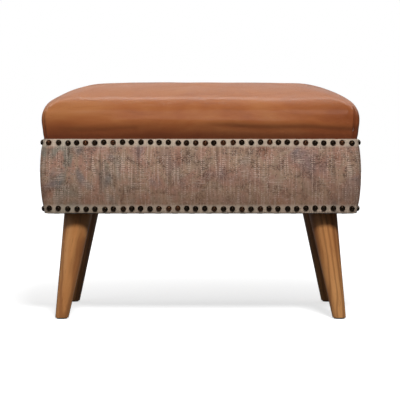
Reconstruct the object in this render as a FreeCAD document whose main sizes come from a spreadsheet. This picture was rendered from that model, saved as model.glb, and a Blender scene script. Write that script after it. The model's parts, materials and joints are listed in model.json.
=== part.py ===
import FreeCAD, Part
import math
import os
import re
import Sketcher

Vector = FreeCAD.Vector
doc = FreeCAD.newDocument("Footstool")
sizes = doc.addObject("Spreadsheet::Sheet", "Sizes")

# name, size in millimetres or degrees, what it is
driving_sizes = [
    ("stool_width", 600, "widest line of seat and band, side to side"),
    ("stool_depth", 400, "widest line of seat and band, front to back"),
    ("underside_height", 200, "floor to the lower edge of the band"),
    ("band_height", 139, "lower edge of the band to the seam under the seat"),
    ("belly_rise", 37, "seam to the widest line of the leather"),
    ("shoulder_slope", 38, "slope where the tight shoulder runs into the crown"),
    ("crown_rise", 32.1, "end of the shoulder to the top of the seat"),
    ("leather_thick", 1.8, "seat hide"),
    ("tail_depth", 15, "hide that is tucked behind the band"),
    ("lay_gap", 0.3, "clearance between loose layers"),
    ("band_thick", 2, "woven band"),
    ("band_belly", 10, "how far the band swells out from the rails"),
    ("band_flange", 7, "part of the band turned in under the rails"),
    ("pad_margin", 17, "band edge to the padding behind it"),
    ("rail_thick", 20, "thickness of the four rails"),
    ("rail_corner_radius", 8, "rounding of the frame corners"),
    ("housing_depth", 5, "how deep rails and brace are housed"),
    ("ledge_width", 10, "rebate that carries the seat deck"),
    ("deck_thick", 12, "plywood seat deck"),
    ("deck_fit", 0.5, "clearance around the deck"),
    ("vent_radius", 10, "breathing holes in the deck"),
    ("vent_spread_x", 140, "breathing holes from the middle, sideways"),
    ("brace_thick", 20, "cross brace under the deck"),
    ("brace_deep", 60, "height of the cross brace"),
    ("foam_inset", 6, "foam slab in from the rail faces"),
    ("foam_thick", 78, "foam slab"),
    ("foam_bevel", 30, "cut top edges of the foam slab"),
    ("hidden_chords", 3, "flat facets for each arc of a face that stays out of sight"),
    ("block_side", 80, "corner block along each rail"),
    ("block_bevel", 35, "cut corner of the corner block"),
    ("block_blank", 64, "height of a block before its seat is cut"),
    ("bolt_seat", 44, "leg top to the bolt's head, along the bolt"),
    ("leg_inset_x", 68, "leg centre in from the widest line, sideways"),
    ("leg_inset_y", 68, "leg centre in from the widest line, front to back"),
    ("leg_splay", 8.6, "outward lean of a leg, seen from the front or the side"),
    ("leg_top_radius", 26.5, "leg under the frame"),
    ("leg_foot_radius", 12.5, "leg at the foot"),
    ("bolt_radius", 4, "coach bolt into the leg"),
    ("bolt_in_leg", 45, "length of bolt inside the leg"),
    ("bolt_clearance", 0.5, "room around the bolt in block and dust cover"),
    ("bolt_head_flats", 13, "bolt head, across flats"),
    ("bolt_head_thick", 5.5, "bolt head"),
    ("glide_radius", 10, "glide under a foot"),
    ("glide_thick", 2, "glide under a foot"),
    ("cover_thick", 0.8, "dust cover under the frame"),
    ("cover_inset", 4, "dust cover in from the rail faces"),
    ("nail_radius", 5.5, "decorative nail head"),
    ("nail_dome", 3.2, "height of a nail head"),
    ("nail_shank", 11, "length of a nail below its head"),
    ("nail_shank_radius", 1.2, "nail shank under its head"),
    ("nail_pitch", 17, "nail to nail, about"),
    ("nail_end", 0.5, "last nail in from the end of the straight rail"),
    ("top_row_drop", 6.5, "upper nail row below the seam"),
    ("low_row_rise", 9, "lower nail row above the band's edge"),
    ("screw_head_radius", 4, "countersunk screw head"),
    ("screw_shank_radius", 2, "screw shank"),
    ("block_screw_length", 45, "screw through a rail into a block"),
    ("block_screw_inset", 24, "screw into a block, from the inside corner of the rails"),
    ("block_screw_rise", 21, "screw through a long rail above the band's edge"),
    ("block_screw_stagger", 10, "how much lower the screw through a side rail sits"),
    ("deck_screw_length", 28, "screw through the deck into a ledge"),
]

for row, (name, size, note) in enumerate(driving_sizes, start=1):
    sizes.set(f"A{row}", name)
    sizes.set(f"B{row}", str(size))
    sizes.set(f"C{row}", note)
    sizes.setAlias(f"B{row}", name)
doc.recompute()


def bind(text):
    """Every word with an underscore is a cell of the sheet."""
    return re.sub(r"\b([a-z]+(?:_[a-z]+)+)\b", r"Sizes.\1", text)


def value(text):
    return float(sizes.evalExpression(bind(text)))


# heights, as expressions of the driving sizes
seam = "(underside_height + band_height)"
belly = f"({seam} + belly_rise)"
rail_top = seam
rail_bottom = "(underside_height + band_thick)"
rail_height = f"({rail_top} - {rail_bottom})"
deck_bottom = f"({rail_top} - deck_thick)"
leg_top = "(underside_height - cover_thick)"

# the frame's outer faces, its inner faces and the axis that every outer corner turns about
rail_x = "(stool_width / 2 - band_belly)"
rail_y = "(stool_depth / 2 - band_belly)"
inner_x = f"({rail_x} - rail_thick)"
inner_y = f"({rail_y} - rail_thick)"

# seat section: a belly arc, a tight shoulder arc and a wide crown arc, tangent in turn
pinch = "(band_belly - lay_gap - leather_thick)"
belly_radius = f"((belly_rise^2 + {pinch}^2) / (2 * {pinch}))"
corner_reach = "(rail_corner_radius + band_belly)"
shoulder_radius = f"({corner_reach} / (1 - sin(shoulder_slope)))"
crown_radius = "(crown_rise / (1 - cos(shoulder_slope)))"

corners = [("front_left", -1, -1), ("front_right", 1, -1), ("back_left", -1, 1), ("back_right", 1, 1)]
parts = []


def keep(made, label):
    made.Label = label
    parts.append(made)
    return made


def sketch(name, role="XY_Plane", height="0", body=None):
    """A sketch on an origin plane of its body, or on the same plane of the document."""
    if body:
        made = body.newObject("Sketcher::SketchObject", name)
        plane = next(f for f in body.Origin.OriginFeatures if f.Role == role)
        made.AttachmentSupport = [(plane, "")]
        made.MapMode = "FlatFace"
        if height != "0":
            made.setExpression("AttachmentOffset.Base.z", bind(height))
        return made
    made = doc.addObject("Sketcher::SketchObject", name)
    turns = {
        "XY_Plane": FreeCAD.Rotation(),
        "XZ_Plane": FreeCAD.Rotation(Vector(1, 0, 0), 90),
        "YZ_Plane": FreeCAD.Rotation(Vector(1, 1, 1), 120),
    }
    made.Placement = FreeCAD.Placement(Vector(), turns[role])
    return made


def hold(made, kind, text, *where):
    """A dimension of a sketch, bound to the sheet."""
    number = made.addConstraint(Sketcher.Constraint(kind, *where, value(text)))
    made.setExpression(f"Constraints[{number}]", bind(text))


def outline(made, points, arcs=None):
    """A closed outline through points, each a pair of expressions.

    arcs gives the radius of the edge that starts at a point. The edge bows to the right of its
    direction of travel, or to the left where the radius has a minus sign in front."""
    arcs = arcs or {}
    spots = [Vector(value(x), value(y), 0) for x, y in points]
    count = len(spots)
    ends = []
    for index, start in enumerate(spots):
        end = spots[(index + 1) % count]
        ends.append((1, 2))
        if index not in arcs:
            made.addGeometry(Part.LineSegment(start, end), False)
            continue
        if arcs[index].startswith("-"):
            start, end = end, start
            ends[-1] = (2, 1)
        radius = value(arcs[index].lstrip("-"))
        chord = end - start
        inward = Vector(-chord.y, chord.x, 0).normalize()
        centre = (start + end) * 0.5 + inward * math.sqrt(radius**2 - chord.Length**2 / 4)
        circle = Part.Circle(centre, Vector(0, 0, 1), radius)
        first = math.atan2(start.y - centre.y, start.x - centre.x)
        last = math.atan2(end.y - centre.y, end.x - centre.x)
        made.addGeometry(Part.ArcOfCircle(circle, first, last), False)
    for index in range(count):
        after = (index + 1) % count
        joint = (index, ends[index][1], after, ends[after][0])
        made.addConstraint(Sketcher.Constraint("Coincident", *joint))
    for index, (x, y) in enumerate(points):
        corner = (index, ends[index][0])
        for kind, text in (("DistanceX", x), ("DistanceY", y)):
            if text == "0":
                axis = -2 if kind == "DistanceX" else -1
                made.addConstraint(Sketcher.Constraint("PointOnObject", *corner, axis))
            else:
                hold(made, kind, text, -1, 1, *corner)
    for index, radius in arcs.items():
        hold(made, "Radius", radius.lstrip("-"), index)
    return made


def rectangle(left, right, low, high):
    return [(left, low), (right, low), (right, high), (left, high)]


def pad(body, profile, length, middle=False):
    made = body.newObject("PartDesign::Pad", "Pad")
    made.Profile = profile
    made.SideType = "Symmetric" if middle else "One side"
    made.setExpression("Length", bind(length))
    return made


def pocket(body, profile, depth, upward=True):
    made = body.newObject("PartDesign::Pocket", "Pocket")
    made.Profile = profile
    made.Reversed = upward
    made.setExpression("Length", bind(depth))
    return made


def slab(label, points, low, height):
    """A flat piece of one outline, cut from a board."""
    body = keep(doc.addObject("PartDesign::Body", label), label)
    pad(body, outline(sketch("Outline", body=body, height=low), points), height)
    return body


def round_edges(body, edges, radius):
    base = body.Tip
    made = body.newObject("PartDesign::Fillet", "RoundEdges")
    made.Base = (base, edges)
    made.setExpression("Radius", bind(radius))
    doc.recompute()


def upright_edges(shape, inside):
    """Names of the straight vertical edges whose foot satisfies the test."""
    found = []
    for number, edge in enumerate(shape.Edges, start=1):
        first, last = edge.Vertexes[0].Point, edge.Vertexes[-1].Point
        if abs(first.x - last.x) < 1e-6 and abs(first.y - last.y) < 1e-6 and inside(first):
            found.append(f"Edge{number}")
    return found


# frame


def long_rail(label, side):
    """Front or back rail: round corners, lapped ends, a ledge for the deck, a brace housing."""
    face, inner = f"{side} * {rail_y}", f"{side} * {inner_y}"
    lap = f"{side} * ({inner_y} + housing_depth)"
    half = [(rail_x, face), (rail_x, lap), (inner_x, lap), (inner_x, inner)]
    points = half + [(f"-{x}", y) for x, y in reversed(half)]
    if side > 0:
        points.reverse()
    body = slab(label, points, rail_bottom, rail_height)
    doc.recompute()
    limit = value(f"{rail_y} - housing_depth")
    round_edges(body, upright_edges(body.Shape, lambda p: abs(p.y) > limit), "rail_corner_radius")

    ledge_x = f"({inner_x} + ledge_width)"
    ledge = sketch("LedgeOutline", body=body, height=deck_bottom)
    ends = [f"{side} * ({inner_y} + ledge_width)", f"{side} * ({inner_y} - ledge_width)"]
    low, high = ends if side < 0 else reversed(ends)
    pocket(body, outline(ledge, rectangle(f"-{ledge_x}", ledge_x, low, high)), "deck_thick")

    housing = sketch("BraceHousing", body=body, height=f"({deck_bottom} - brace_deep)")
    ends = [f"{side} * ({inner_y} + housing_depth)", f"{side} * ({inner_y} - housing_depth)"]
    low, high = ends if side < 0 else reversed(ends)
    edges = rectangle("-brace_thick / 2", "brace_thick / 2", low, high)
    pocket(body, outline(housing, edges), "brace_deep")
    return body


def side_rail(label, side):
    """Left or right rail: its ends sit in the laps of the long rails."""
    xs = [f"{side} * {inner_x}", f"{side} * {rail_x}"]
    left, right = xs if side > 0 else reversed(xs)
    end = f"({inner_y} + housing_depth)"
    body = slab(label, rectangle(left, right, f"-{end}", end), rail_bottom, rail_height)
    xs = [f"{side} * ({inner_x} - ledge_width)", f"{side} * ({inner_x} + ledge_width)"]
    left, right = xs if side > 0 else reversed(xs)
    ledge = sketch("LedgeOutline", body=body, height=deck_bottom)
    reach = f"({end} + ledge_width)"
    pocket(body, outline(ledge, rectangle(left, right, f"-{reach}", reach)), "deck_thick")
    return body


def cross_brace():
    end = f"({inner_y} + housing_depth)"
    points = rectangle("-brace_thick / 2", "brace_thick / 2", f"-{end}", end)
    slab("cross_brace", points, f"({deck_bottom} - brace_deep)", "brace_deep")


def seat_deck():
    half_x = f"({inner_x} + ledge_width - deck_fit)"
    half_y = f"({inner_y} + ledge_width - deck_fit)"
    points = rectangle(f"-{half_x}", half_x, f"-{half_y}", half_y)
    body = slab("seat_deck", points, deck_bottom, "deck_thick")
    vents = sketch("Vents", body=body, height=deck_bottom)
    for number, side in enumerate((-1, 1)):
        centre = Vector(side * value("vent_spread_x"), 0, 0)
        circle = Part.Circle(centre, Vector(0, 0, 1), value("vent_radius"))
        vents.addGeometry(circle, False)
        vents.addConstraint(Sketcher.Constraint("PointOnObject", number, 3, -1))
        hold(vents, "DistanceX", f"{side} * vent_spread_x", -1, 1, number, 3)
        hold(vents, "Radius", "vent_radius", number)
    pocket(body, vents, "deck_thick")


# legs and what holds them

leg_x = "(stool_width / 2 - leg_inset_x)"
leg_y = "(stool_depth / 2 - leg_inset_y)"
lean = "tan(leg_splay)"
stretch = f"sqrt(1 + 2 * {lean}^2)"


def lay_along_leg(made, sx, sy, above):
    """Stands a turned piece on the leg's axis, its lower end a distance above the leg's top."""
    made.Placement.Rotation = FreeCAD.Rotation(Vector(sy, -sx, 0), 10)
    climb = f"(({above}) / {stretch})"
    made.setExpression("Placement.Rotation.Angle", bind(f"atan(sqrt(2) * {lean})"))
    made.setExpression("Placement.Base.x", bind(f"{sx} * ({leg_x} - {lean} * {climb})"))
    made.setExpression("Placement.Base.y", bind(f"{sy} * ({leg_y} - {lean} * {climb})"))
    made.setExpression("Placement.Base.z", bind(f"{leg_top} + {climb}"))
    return made


def cylinder(name, radius, height):
    made = doc.addObject("Part::Cylinder", name)
    made.setExpression("Radius", bind(radius))
    made.setExpression("Height", bind(height))
    return made


def box(name, x_size, y_size, z_size, x, y, z):
    made = doc.addObject("Part::Box", name)
    for key, text in (("Length", x_size), ("Width", y_size), ("Height", z_size)):
        made.setExpression(key, bind(text))
    for key, text in (("x", x), ("y", y), ("z", z)):
        made.setExpression(f"Placement.Base.{key}", bind(text))
    return made


def cut(name, base, tool):
    made = doc.addObject("Part::Cut", name)
    made.Base = base
    made.Tool = tool
    return made


def common(name, *shapes):
    made = doc.addObject("Part::MultiCommon", name)
    made.Shapes = list(shapes)
    return made


def fuse(name, *shapes):
    made = doc.addObject("Part::MultiFuse", name)
    made.Shapes = list(shapes)
    made.Refine = True
    return made


def group(label, members):
    made = keep(doc.addObject("Part::Compound", label), label)
    made.Links = members
    return made


def coach_bolt(name, sx, sy):
    """Runs from the block's seat down into the leg and pulls the leg up against the frame."""
    shank = cylinder(f"{name}_shank", "bolt_radius", "bolt_in_leg + bolt_seat + bolt_head_thick / 2")
    head = doc.addObject("Part::Prism", f"{name}_head")
    head.Polygon = 6
    head.setExpression("Circumradius", bind("bolt_head_flats / sqrt(3)"))
    head.setExpression("Height", bind("bolt_head_thick"))
    return fuse(name, lay_along_leg(shank, sx, sy, "-bolt_in_leg"), lay_along_leg(head, sx, sy, "bolt_seat"))


def bolt_hole(name, sx, sy):
    """Clear hole for the bolt through a corner block."""
    hole = cylinder(name, "bolt_radius + bolt_clearance", "(2 * block_blank)")
    return lay_along_leg(hole, sx, sy, "-block_blank / 2")


def leg(corner, sx, sy, bolt):
    """A straight taper, cut level under the frame and level at the glide."""
    spare = "leg_foot_radius"
    fall = f"(({leg_top} - glide_thick) * {stretch})"
    rate = f"((leg_top_radius - leg_foot_radius) / {fall})"
    turned = doc.addObject("Part::Cone", f"LegBlank_{corner}")
    turned.setExpression("Radius1", bind(f"leg_foot_radius - {rate} * {spare}"))
    turned.setExpression("Radius2", bind(f"leg_top_radius + {rate} * {spare}"))
    turned.setExpression("Height", bind(f"{fall} + 2 * {spare}"))
    lay_along_leg(turned, sx, sy, f"-({fall} + {spare})")
    span = "(2 * stool_width)"
    room = box(f"LegRoom_{corner}", span, span, f"({leg_top} - glide_thick)",
               f"-{span} / 2", f"-{span} / 2", "glide_thick")
    return cut(f"Leg_{corner}", common(f"LegLevel_{corner}", turned, room), bolt)


def corner_block(corner, sx, sy):
    """Fills the corner of the rails; its top is cut square to the bolt as a seat for its head."""
    ax, ay = f"{sx} * {inner_x}", f"{sy} * {inner_y}"
    bx, by = f"{sx} * ({inner_x} - block_side)", f"{sy} * ({inner_y} - block_side)"
    cx = f"{sx} * ({inner_x} - block_side + block_bevel)"
    cy = f"{sy} * ({inner_y} - block_side + block_bevel)"
    points = [(ax, ay), (bx, ay), (bx, cy), (cx, by), (ax, by)]
    if sx * sy < 0:
        points.reverse()
    body = doc.addObject("PartDesign::Body", f"BlockBlank_{corner}")
    profile = outline(sketch("Outline", body=body, height="underside_height"), points)
    pad(body, profile, "block_blank")
    above = cylinder(f"SeatCut_{corner}", "(2 * block_side)", "(2 * block_blank)")
    lay_along_leg(above, sx, sy, "bolt_seat")
    seated = cut(f"SeatedBlock_{corner}", body, above)
    hole = bolt_hole(f"BlockHole_{corner}", sx, sy)
    keep(cut(f"Block_{corner}", seated, hole), f"corner_block_{corner}")


def glide(name, sx, sy):
    made = cylinder(name, "glide_radius", "glide_thick")
    drop = f"({leg_top} - glide_thick)"
    made.setExpression("Placement.Base.x", bind(f"{sx} * ({leg_x} + {lean} * {drop})"))
    made.setExpression("Placement.Base.y", bind(f"{sy} * ({leg_y} + {lean} * {drop})"))
    return made


def dust_cover():
    """Cloth closing the underside, between the frame and the legs, slit for each bolt."""
    half_x, half_y = f"({rail_x} - cover_inset)", f"({rail_y} - cover_inset)"
    sheet = box("CoverSheet", f"2 * {half_x}", f"2 * {half_y}", "cover_thick",
                f"-{half_x}", f"-{half_y}", leg_top)
    half = "(bolt_radius + 2 * bolt_clearance)"
    slits = doc.addObject("Part::Compound", "CoverSlits")
    slits.Links = [box(f"CoverSlit_{corner}", f"2 * {half}", f"2 * {half}", "3 * cover_thick",
                       f"{sx} * {leg_x} - {half}", f"{sy} * {leg_y} - {half}", f"{leg_top} - cover_thick")
                   for corner, sx, sy in corners]
    keep(cut("DustCover", sheet, slits), "dust_cover")


# seat


def seat_section(half, inset, low, steps=None):
    """Right-hand side of the seat's section, from its low edge to the end of its crown.

    inset is how far the surface lies under the outside of the leather. With steps, the arcs
    become that many chords each, for faces that stay out of sight."""
    turn = "(90 - shoulder_slope)"

    def on_belly(height):
        reach = f"sqrt(({belly_radius} - {inset})^2 - ({belly} - {height})^2)"
        return (f"({half} - {belly_radius} + {reach})", height)

    def on_shoulder(angle):
        reach = f"({shoulder_radius} - {inset})"
        return (f"({half} - {shoulder_radius} + {reach} * cos({angle}))",
                f"({belly} + {reach} * sin({angle}))")

    def on_crown(angle):
        shift = f"({crown_radius} - {shoulder_radius})"
        reach = f"({crown_radius} - {inset})"
        return (f"({half} - {shoulder_radius} - {shift} * cos{turn} + {reach} * cos({angle}))",
                f"({belly} - {shift} * sin{turn} + {reach} * sin({angle}))")

    widest = (f"({half} - {inset})", belly)
    if not steps:
        points = [on_belly(low), widest, on_shoulder(turn), on_crown("90")]
        radii = [f"{belly_radius} - {inset}", f"{shoulder_radius} - {inset}", f"{crown_radius} - {inset}"]
        return points, radii, 2
    points = [on_belly(low), widest]
    points += [on_shoulder(f"{k} * {turn} / {steps}") for k in range(1, steps + 1)]
    points += [on_crown(f"90 - {k} * shoulder_slope / {steps}") for k in range(steps - 1, -1, -1)]
    return points, [], steps + 1


def crowned(name, inset, low, steps=None):
    """The seat's crowned form, or the same form lying inset under its surface."""
    spans = []
    axis = []
    for role, half in (("XZ_Plane", "(stool_width / 2)"), ("YZ_Plane", "(stool_depth / 2)")):
        points, radii, turn_at = seat_section(half, inset, low, steps)
        axis.append(points[turn_at][0])
        count = len(points)
        arcs = dict(enumerate(radii))
        arcs.update({2 * count - 2 - k: radius for k, radius in arcs.items()})
        both = points + [(f"-{x}", y) for x, y in reversed(points)]
        section = outline(sketch(f"{name}_section_{role[:2]}", role), both, arcs)
        span = doc.addObject("Part::Extrusion", f"{name}_span_{role[:2]}")
        span.Base = section
        span.DirMode = "Normal"
        span.Solid = True
        span.Symmetric = True
        span.setExpression("LengthFwd", bind("2 * stool_width"))
        spans.append(span)
    pillow = common(f"{name}_pillow", *spans)

    points, radii, turn_at = seat_section("(stool_width / 2)", inset, low, steps)
    lower = points[:turn_at + 1]
    wedge = [(f"({x} - {axis[0]})", y) for x, y in lower[:-1]]
    wedge += [("0", lower[-1][1]), ("0", low)]
    arcs = dict(enumerate(radii[:2]))
    rounds = []
    boxes = []
    for corner, sx, sy in corners:
        start = {(1, 1): 0, (-1, 1): 90, (-1, -1): 180, (1, -1): 270}[(sx, sy)]
        profile = outline(sketch(f"{name}_corner_{corner}", "XZ_Plane"), wedge, arcs)
        profile.Placement = FreeCAD.Placement(Vector(), FreeCAD.Rotation(start, 0, 90))
        profile.setExpression("Placement.Base.x", bind(f"{sx} * {axis[0]}"))
        profile.setExpression("Placement.Base.y", bind(f"{sy} * {axis[1]}"))
        turned = doc.addObject("Part::Revolution", f"{name}_turn_{corner}")
        turned.Source = profile
        turned.Axis = Vector(0, 0, 1)
        turned.Angle = 90
        turned.Solid = True
        turned.setExpression("Base.x", bind(f"{sx} * {axis[0]}"))
        turned.setExpression("Base.y", bind(f"{sy} * {axis[1]}"))
        rounds.append(turned)
        reach = f"(2 * {corner_reach})"
        near_x = f"{sx} * {axis[0]}" + (f" - {reach}" if sx < 0 else "")
        near_y = f"{sy} * {axis[1]}" + (f" - {reach}" if sy < 0 else "")
        high = f"(belly_rise + crown_rise + {shoulder_radius} + tail_depth)"
        boxes.append(box(f"{name}_trim_{corner}", reach, reach, high, near_x, near_y, f"{low} - tail_depth"))
    trims = doc.addObject("Part::Compound", f"{name}_trims")
    trims.Links = boxes
    return fuse(name, cut(f"{name}_squared", pillow, trims), *rounds)


def round_prism(name, grow, low, high):
    """The frame's outline in plan, grown by a distance and with concentric corners."""
    body = doc.addObject("PartDesign::Body", name)
    half_x, half_y = f"({rail_x} + {grow})", f"({rail_y} + {grow})"
    points = rectangle(f"-{half_x}", half_x, f"-{half_y}", half_y)
    pad(body, outline(sketch("Outline", body=body, height=low), points), f"{high} - {low}")
    doc.recompute()
    round_edges(body, upright_edges(body.Shape, lambda p: True), f"rail_corner_radius + {grow}")
    return body


def foam_form(name, grow):
    """The foam slab, or the same slab grown by a clearance."""
    half_x, half_y = f"({rail_x} - foam_inset + {grow})", f"({rail_y} - foam_inset + {grow})"
    body = doc.addObject("PartDesign::Body", name)
    points = rectangle(f"-{half_x}", half_x, f"-{half_y}", half_y)
    low = f"{rail_top} + lay_gap - {grow}"
    pad(body, outline(sketch("Outline", body=body, height=low), points), f"foam_thick + 2 * {grow}")
    doc.recompute()
    base = body.Tip
    top = base.Shape.BoundBox.ZMax
    edges = [f"Edge{number}" for number, edge in enumerate(base.Shape.Edges, start=1)
             if min(corner.Point.z for corner in edge.Vertexes) > top - 1e-3]
    bevel = body.newObject("PartDesign::Chamfer", "BevelTop")
    bevel.Base = (base, edges)
    bevel.setExpression("Size", bind(f"foam_bevel + {grow} * (2 - sqrt(2))"))
    return body


def seat():
    keep(foam_form("Foam", "0"), "seat_foam")
    under_leather = "(leather_thick + lay_gap)"
    chords = round(value("hidden_chords"))
    wadding = crowned("Wadding", under_leather, f"({rail_top} + lay_gap)", chords)
    keep(cut("SeatWadding", wadding, foam_form("FoamRoom", "lay_gap")), "seat_wadding")

    outside = crowned("Hide", "0", seam)
    inside = crowned("HideRoom", "leather_thick", seam, chords)
    tail_low = f"({seam} - tail_depth)"
    tail = round_prism("Tail", "(lay_gap + leather_thick)", tail_low, seam)
    tail_room = round_prism("TailRoom", "lay_gap", tail_low, seam)
    whole = fuse("HideWhole", outside, tail)
    room = fuse("HideHollow", inside, tail_room)
    keep(cut("SeatCover", whole, room), "seat_cover")


# side band and its padding

# The band's outer face is one arc: it stands out from the rail by the low swell at its lower
# edge, by the top swell at the seam and by band_belly at its widest line. Its radius follows
# from these three and from the band's height.
band_low_swell = "(lay_gap + band_thick)"
band_top_swell = "(2 * lay_gap + leather_thick + band_thick)"
deep_low = f"(band_belly - {band_low_swell})"
deep_top = f"(band_belly - {band_top_swell})"
deeper = f"({deep_top} - {deep_low})"
square = f"(band_height^2 + {deep_top}^2 - {deep_low}^2)"
linear = f"(2 * {square} * {deeper} + 4 * band_height^2 * {deep_low})"
constant = f"({square}^2 + 4 * band_height^2 * {deep_low}^2)"
band_radius = f"({constant} / ({linear} + sqrt({linear}^2 - 4 * {deeper}^2 * {constant})))"
band_widest = f"sqrt(2 * {band_radius} * {deep_low} - {deep_low}^2)"


def swell(height, inset="0"):
    """How far the band's outer face, or a face inset under it, stands out from the rail.

    height is measured from the band's lower edge."""
    reach = f"sqrt(({band_radius} - {inset})^2 - ({height} - {band_widest})^2)"
    return f"(band_belly - {band_radius} + {reach})"


def side_band():
    """Woven band: one section carried round the frame, with its lower edge turned in."""
    body = keep(doc.addObject("PartDesign::Body", "side_band"), "side_band")
    path = sketch("Path", body=body)
    half_x, half_y = value(rail_x), value(rail_y)
    bend = value("rail_corner_radius")
    far_x, far_y = half_x - bend, half_y - bend
    runs = [((-far_x, -half_y), (far_x, -half_y)), ((half_x, -far_y), (half_x, far_y)),
            ((far_x, half_y), (-far_x, half_y)), ((-half_x, far_y), (-half_x, -far_y))]
    middles = [(far_x, -far_y, -0.5), (far_x, far_y, 0), (-far_x, far_y, 0.5), (-far_x, -far_y, 1)]
    for (start, end), (x, y, turn) in zip(runs, middles):
        path.addGeometry(Part.LineSegment(Vector(*start, 0), Vector(*end, 0)), False)
        circle = Part.Circle(Vector(x, y, 0), Vector(0, 0, 1), bend)
        first = turn * math.pi
        path.addGeometry(Part.ArcOfCircle(circle, first, first + math.pi / 2), False)
    for index in range(8):
        path.addConstraint(Sketcher.Constraint("Tangent", index, 2, (index + 1) % 8, 1))
    for index in (0, 4):
        path.addConstraint(Sketcher.Constraint("Horizontal", index))
        path.addConstraint(Sketcher.Constraint("Vertical", index + 2))
    for index in (3, 5, 7):
        path.addConstraint(Sketcher.Constraint("Equal", 1, index))
    path.addConstraint(Sketcher.Constraint("Symmetric", 1, 3, 5, 3, -1, 1))
    hold(path, "Radius", "rail_corner_radius", 1)
    hold(path, "DistanceX", f"2 * {rail_x}", 6, 1, 2, 1)
    hold(path, "DistanceY", f"2 * {rail_y}", 0, 1, 4, 1)

    turned_in = f"({rail_x} - band_flange)"
    points = [(turned_in, "underside_height"),
              (f"({rail_x} + {band_low_swell})", "underside_height"),
              (f"({rail_x} + {band_top_swell})", seam),
              (f"({rail_x} + {swell('band_height', 'band_thick')})", seam),
              (f"({rail_x} + {swell('band_thick', 'band_thick')})", rail_bottom),
              (turned_in, rail_bottom)]
    arcs = {1: band_radius, 3: f"-({band_radius} - band_thick)"}
    profile = outline(sketch("Section", "XZ_Plane", body=body), points, arcs)

    sweep = body.newObject("PartDesign::AdditivePipe", "Sweep")
    sweep.Profile = profile
    sweep.Spine = (path, [f"Edge{index + 1}" for index in range(8)])


def band_pad(label, side, along_x):
    """Padding between one rail and the band, bowed like the band."""
    face, far = (rail_y, rail_x) if along_x else (rail_x, rail_y)
    body = keep(doc.addObject("PartDesign::Body", label), label)
    low, top = "(underside_height + pad_margin)", f"({seam} - pad_margin)"
    under = "(band_thick + lay_gap)"
    swell_low = swell("pad_margin", under)
    swell_top = swell("(band_height - pad_margin)", under)
    points = [(f"({face} + lay_gap)", low), (f"({face} + {swell_low})", low),
              (f"({face} + {swell_top})", top), (f"({face} + lay_gap)", top)]
    radius = f"({band_radius} - {under})"
    arcs = {1: radius}
    if side < 0:
        points = [(f"-{x}", y) for x, y in points]
        arcs = {1: f"-{radius}"}
    profile = outline(sketch("Section", "YZ_Plane" if along_x else "XZ_Plane", body=body), points, arcs)
    pad(body, profile, f"2 * ({far} - rail_corner_radius)", middle=True)


# nails and screws


def stub(sides, low_radius, high_radius, low, high):
    """A flat-faced stub of a cone about Z, or a pyramid where the upper radius is nothing."""
    turns = [2 * math.pi * k / sides for k in range(sides)]
    base = [Vector(low_radius * math.cos(turn), low_radius * math.sin(turn), low) for turn in turns]
    if high_radius:
        top = [Vector(high_radius * math.cos(turn), high_radius * math.sin(turn), high) for turn in turns]
    else:
        top = [Vector(0, 0, high)] * sides
    faces = [Part.Face(Part.makePolygon(base + base[:1]))]
    if high_radius:
        faces.append(Part.Face(Part.makePolygon(top + top[:1])))
    for k in range(sides):
        after = (k + 1) % sides
        around = [base[k], base[after], top[after]] + ([top[k]] if high_radius else [])
        faces.append(Part.Face(Part.makePolygon(around + [base[k]])))
    return Part.makeSolid(Part.makeShell(faces))


def nail_shape():
    """Domed head, six-sided here, with a pointed shank; the face under the head is at the origin."""
    head = stub(6, value("nail_radius"), 0, 0, value("nail_dome"))
    shank = stub(3, value("nail_shank_radius"), 0, 0, value("nail_shank"))
    shank.rotate(Vector(), Vector(1, 0, 0), 180)
    return head.fuse(shank)


def screw_shape(length):
    """Countersunk screw whose flat head lies at the origin and whose shank runs down -Z."""
    head_radius, shank_radius = value("screw_head_radius"), value("screw_shank_radius")
    neck = shank_radius - head_radius
    head = stub(6, shank_radius, head_radius, neck, 0)
    return head.fuse(stub(6, shank_radius, shank_radius, -length, neck))


def place_copies(label, shape, places):
    """Copies of one fastener as separate solids; a place is a point and the way its head faces."""
    copies = []
    for point, facing in places:
        turn = FreeCAD.Rotation(Vector(0, 0, 1), Vector(*facing))
        copy = shape.copy()
        copy.Placement = FreeCAD.Placement(Vector(*point), turn)
        copies.append(copy)
    made = keep(doc.addObject("Part::Feature", label), label)
    made.Shape = Part.makeCompound(copies)


def nails():
    """Two rows on each side, on the band's outer face and square to it."""
    shape = nail_shape()
    bow, widest = value(band_radius), value(band_widest)
    for label, across, side in (("nails_front", True, -1), ("nails_back", True, 1),
                                ("nails_left", False, -1), ("nails_right", False, 1)):
        face, far = (rail_y, rail_x) if across else (rail_x, rail_y)
        half = value(f"{far} - rail_corner_radius - nail_end")
        count = round(2 * half / value("nail_pitch")) + 1
        places = []
        for row in ("low_row_rise", "(band_height - top_row_drop)"):
            height = value(row)
            out = value(f"{face} + {swell(row)}")
            tip = (height - widest) / bow
            level = math.sqrt(1 - tip**2)
            for number in range(count):
                along = -half + 2 * half * number / (count - 1)
                x, y = (along, side * out) if across else (side * out, along)
                way = (0, side * level, tip) if across else (side * level, 0, tip)
                places.append(((x, y, value("underside_height") + height), way))
        place_copies(label, shape, places)


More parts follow.
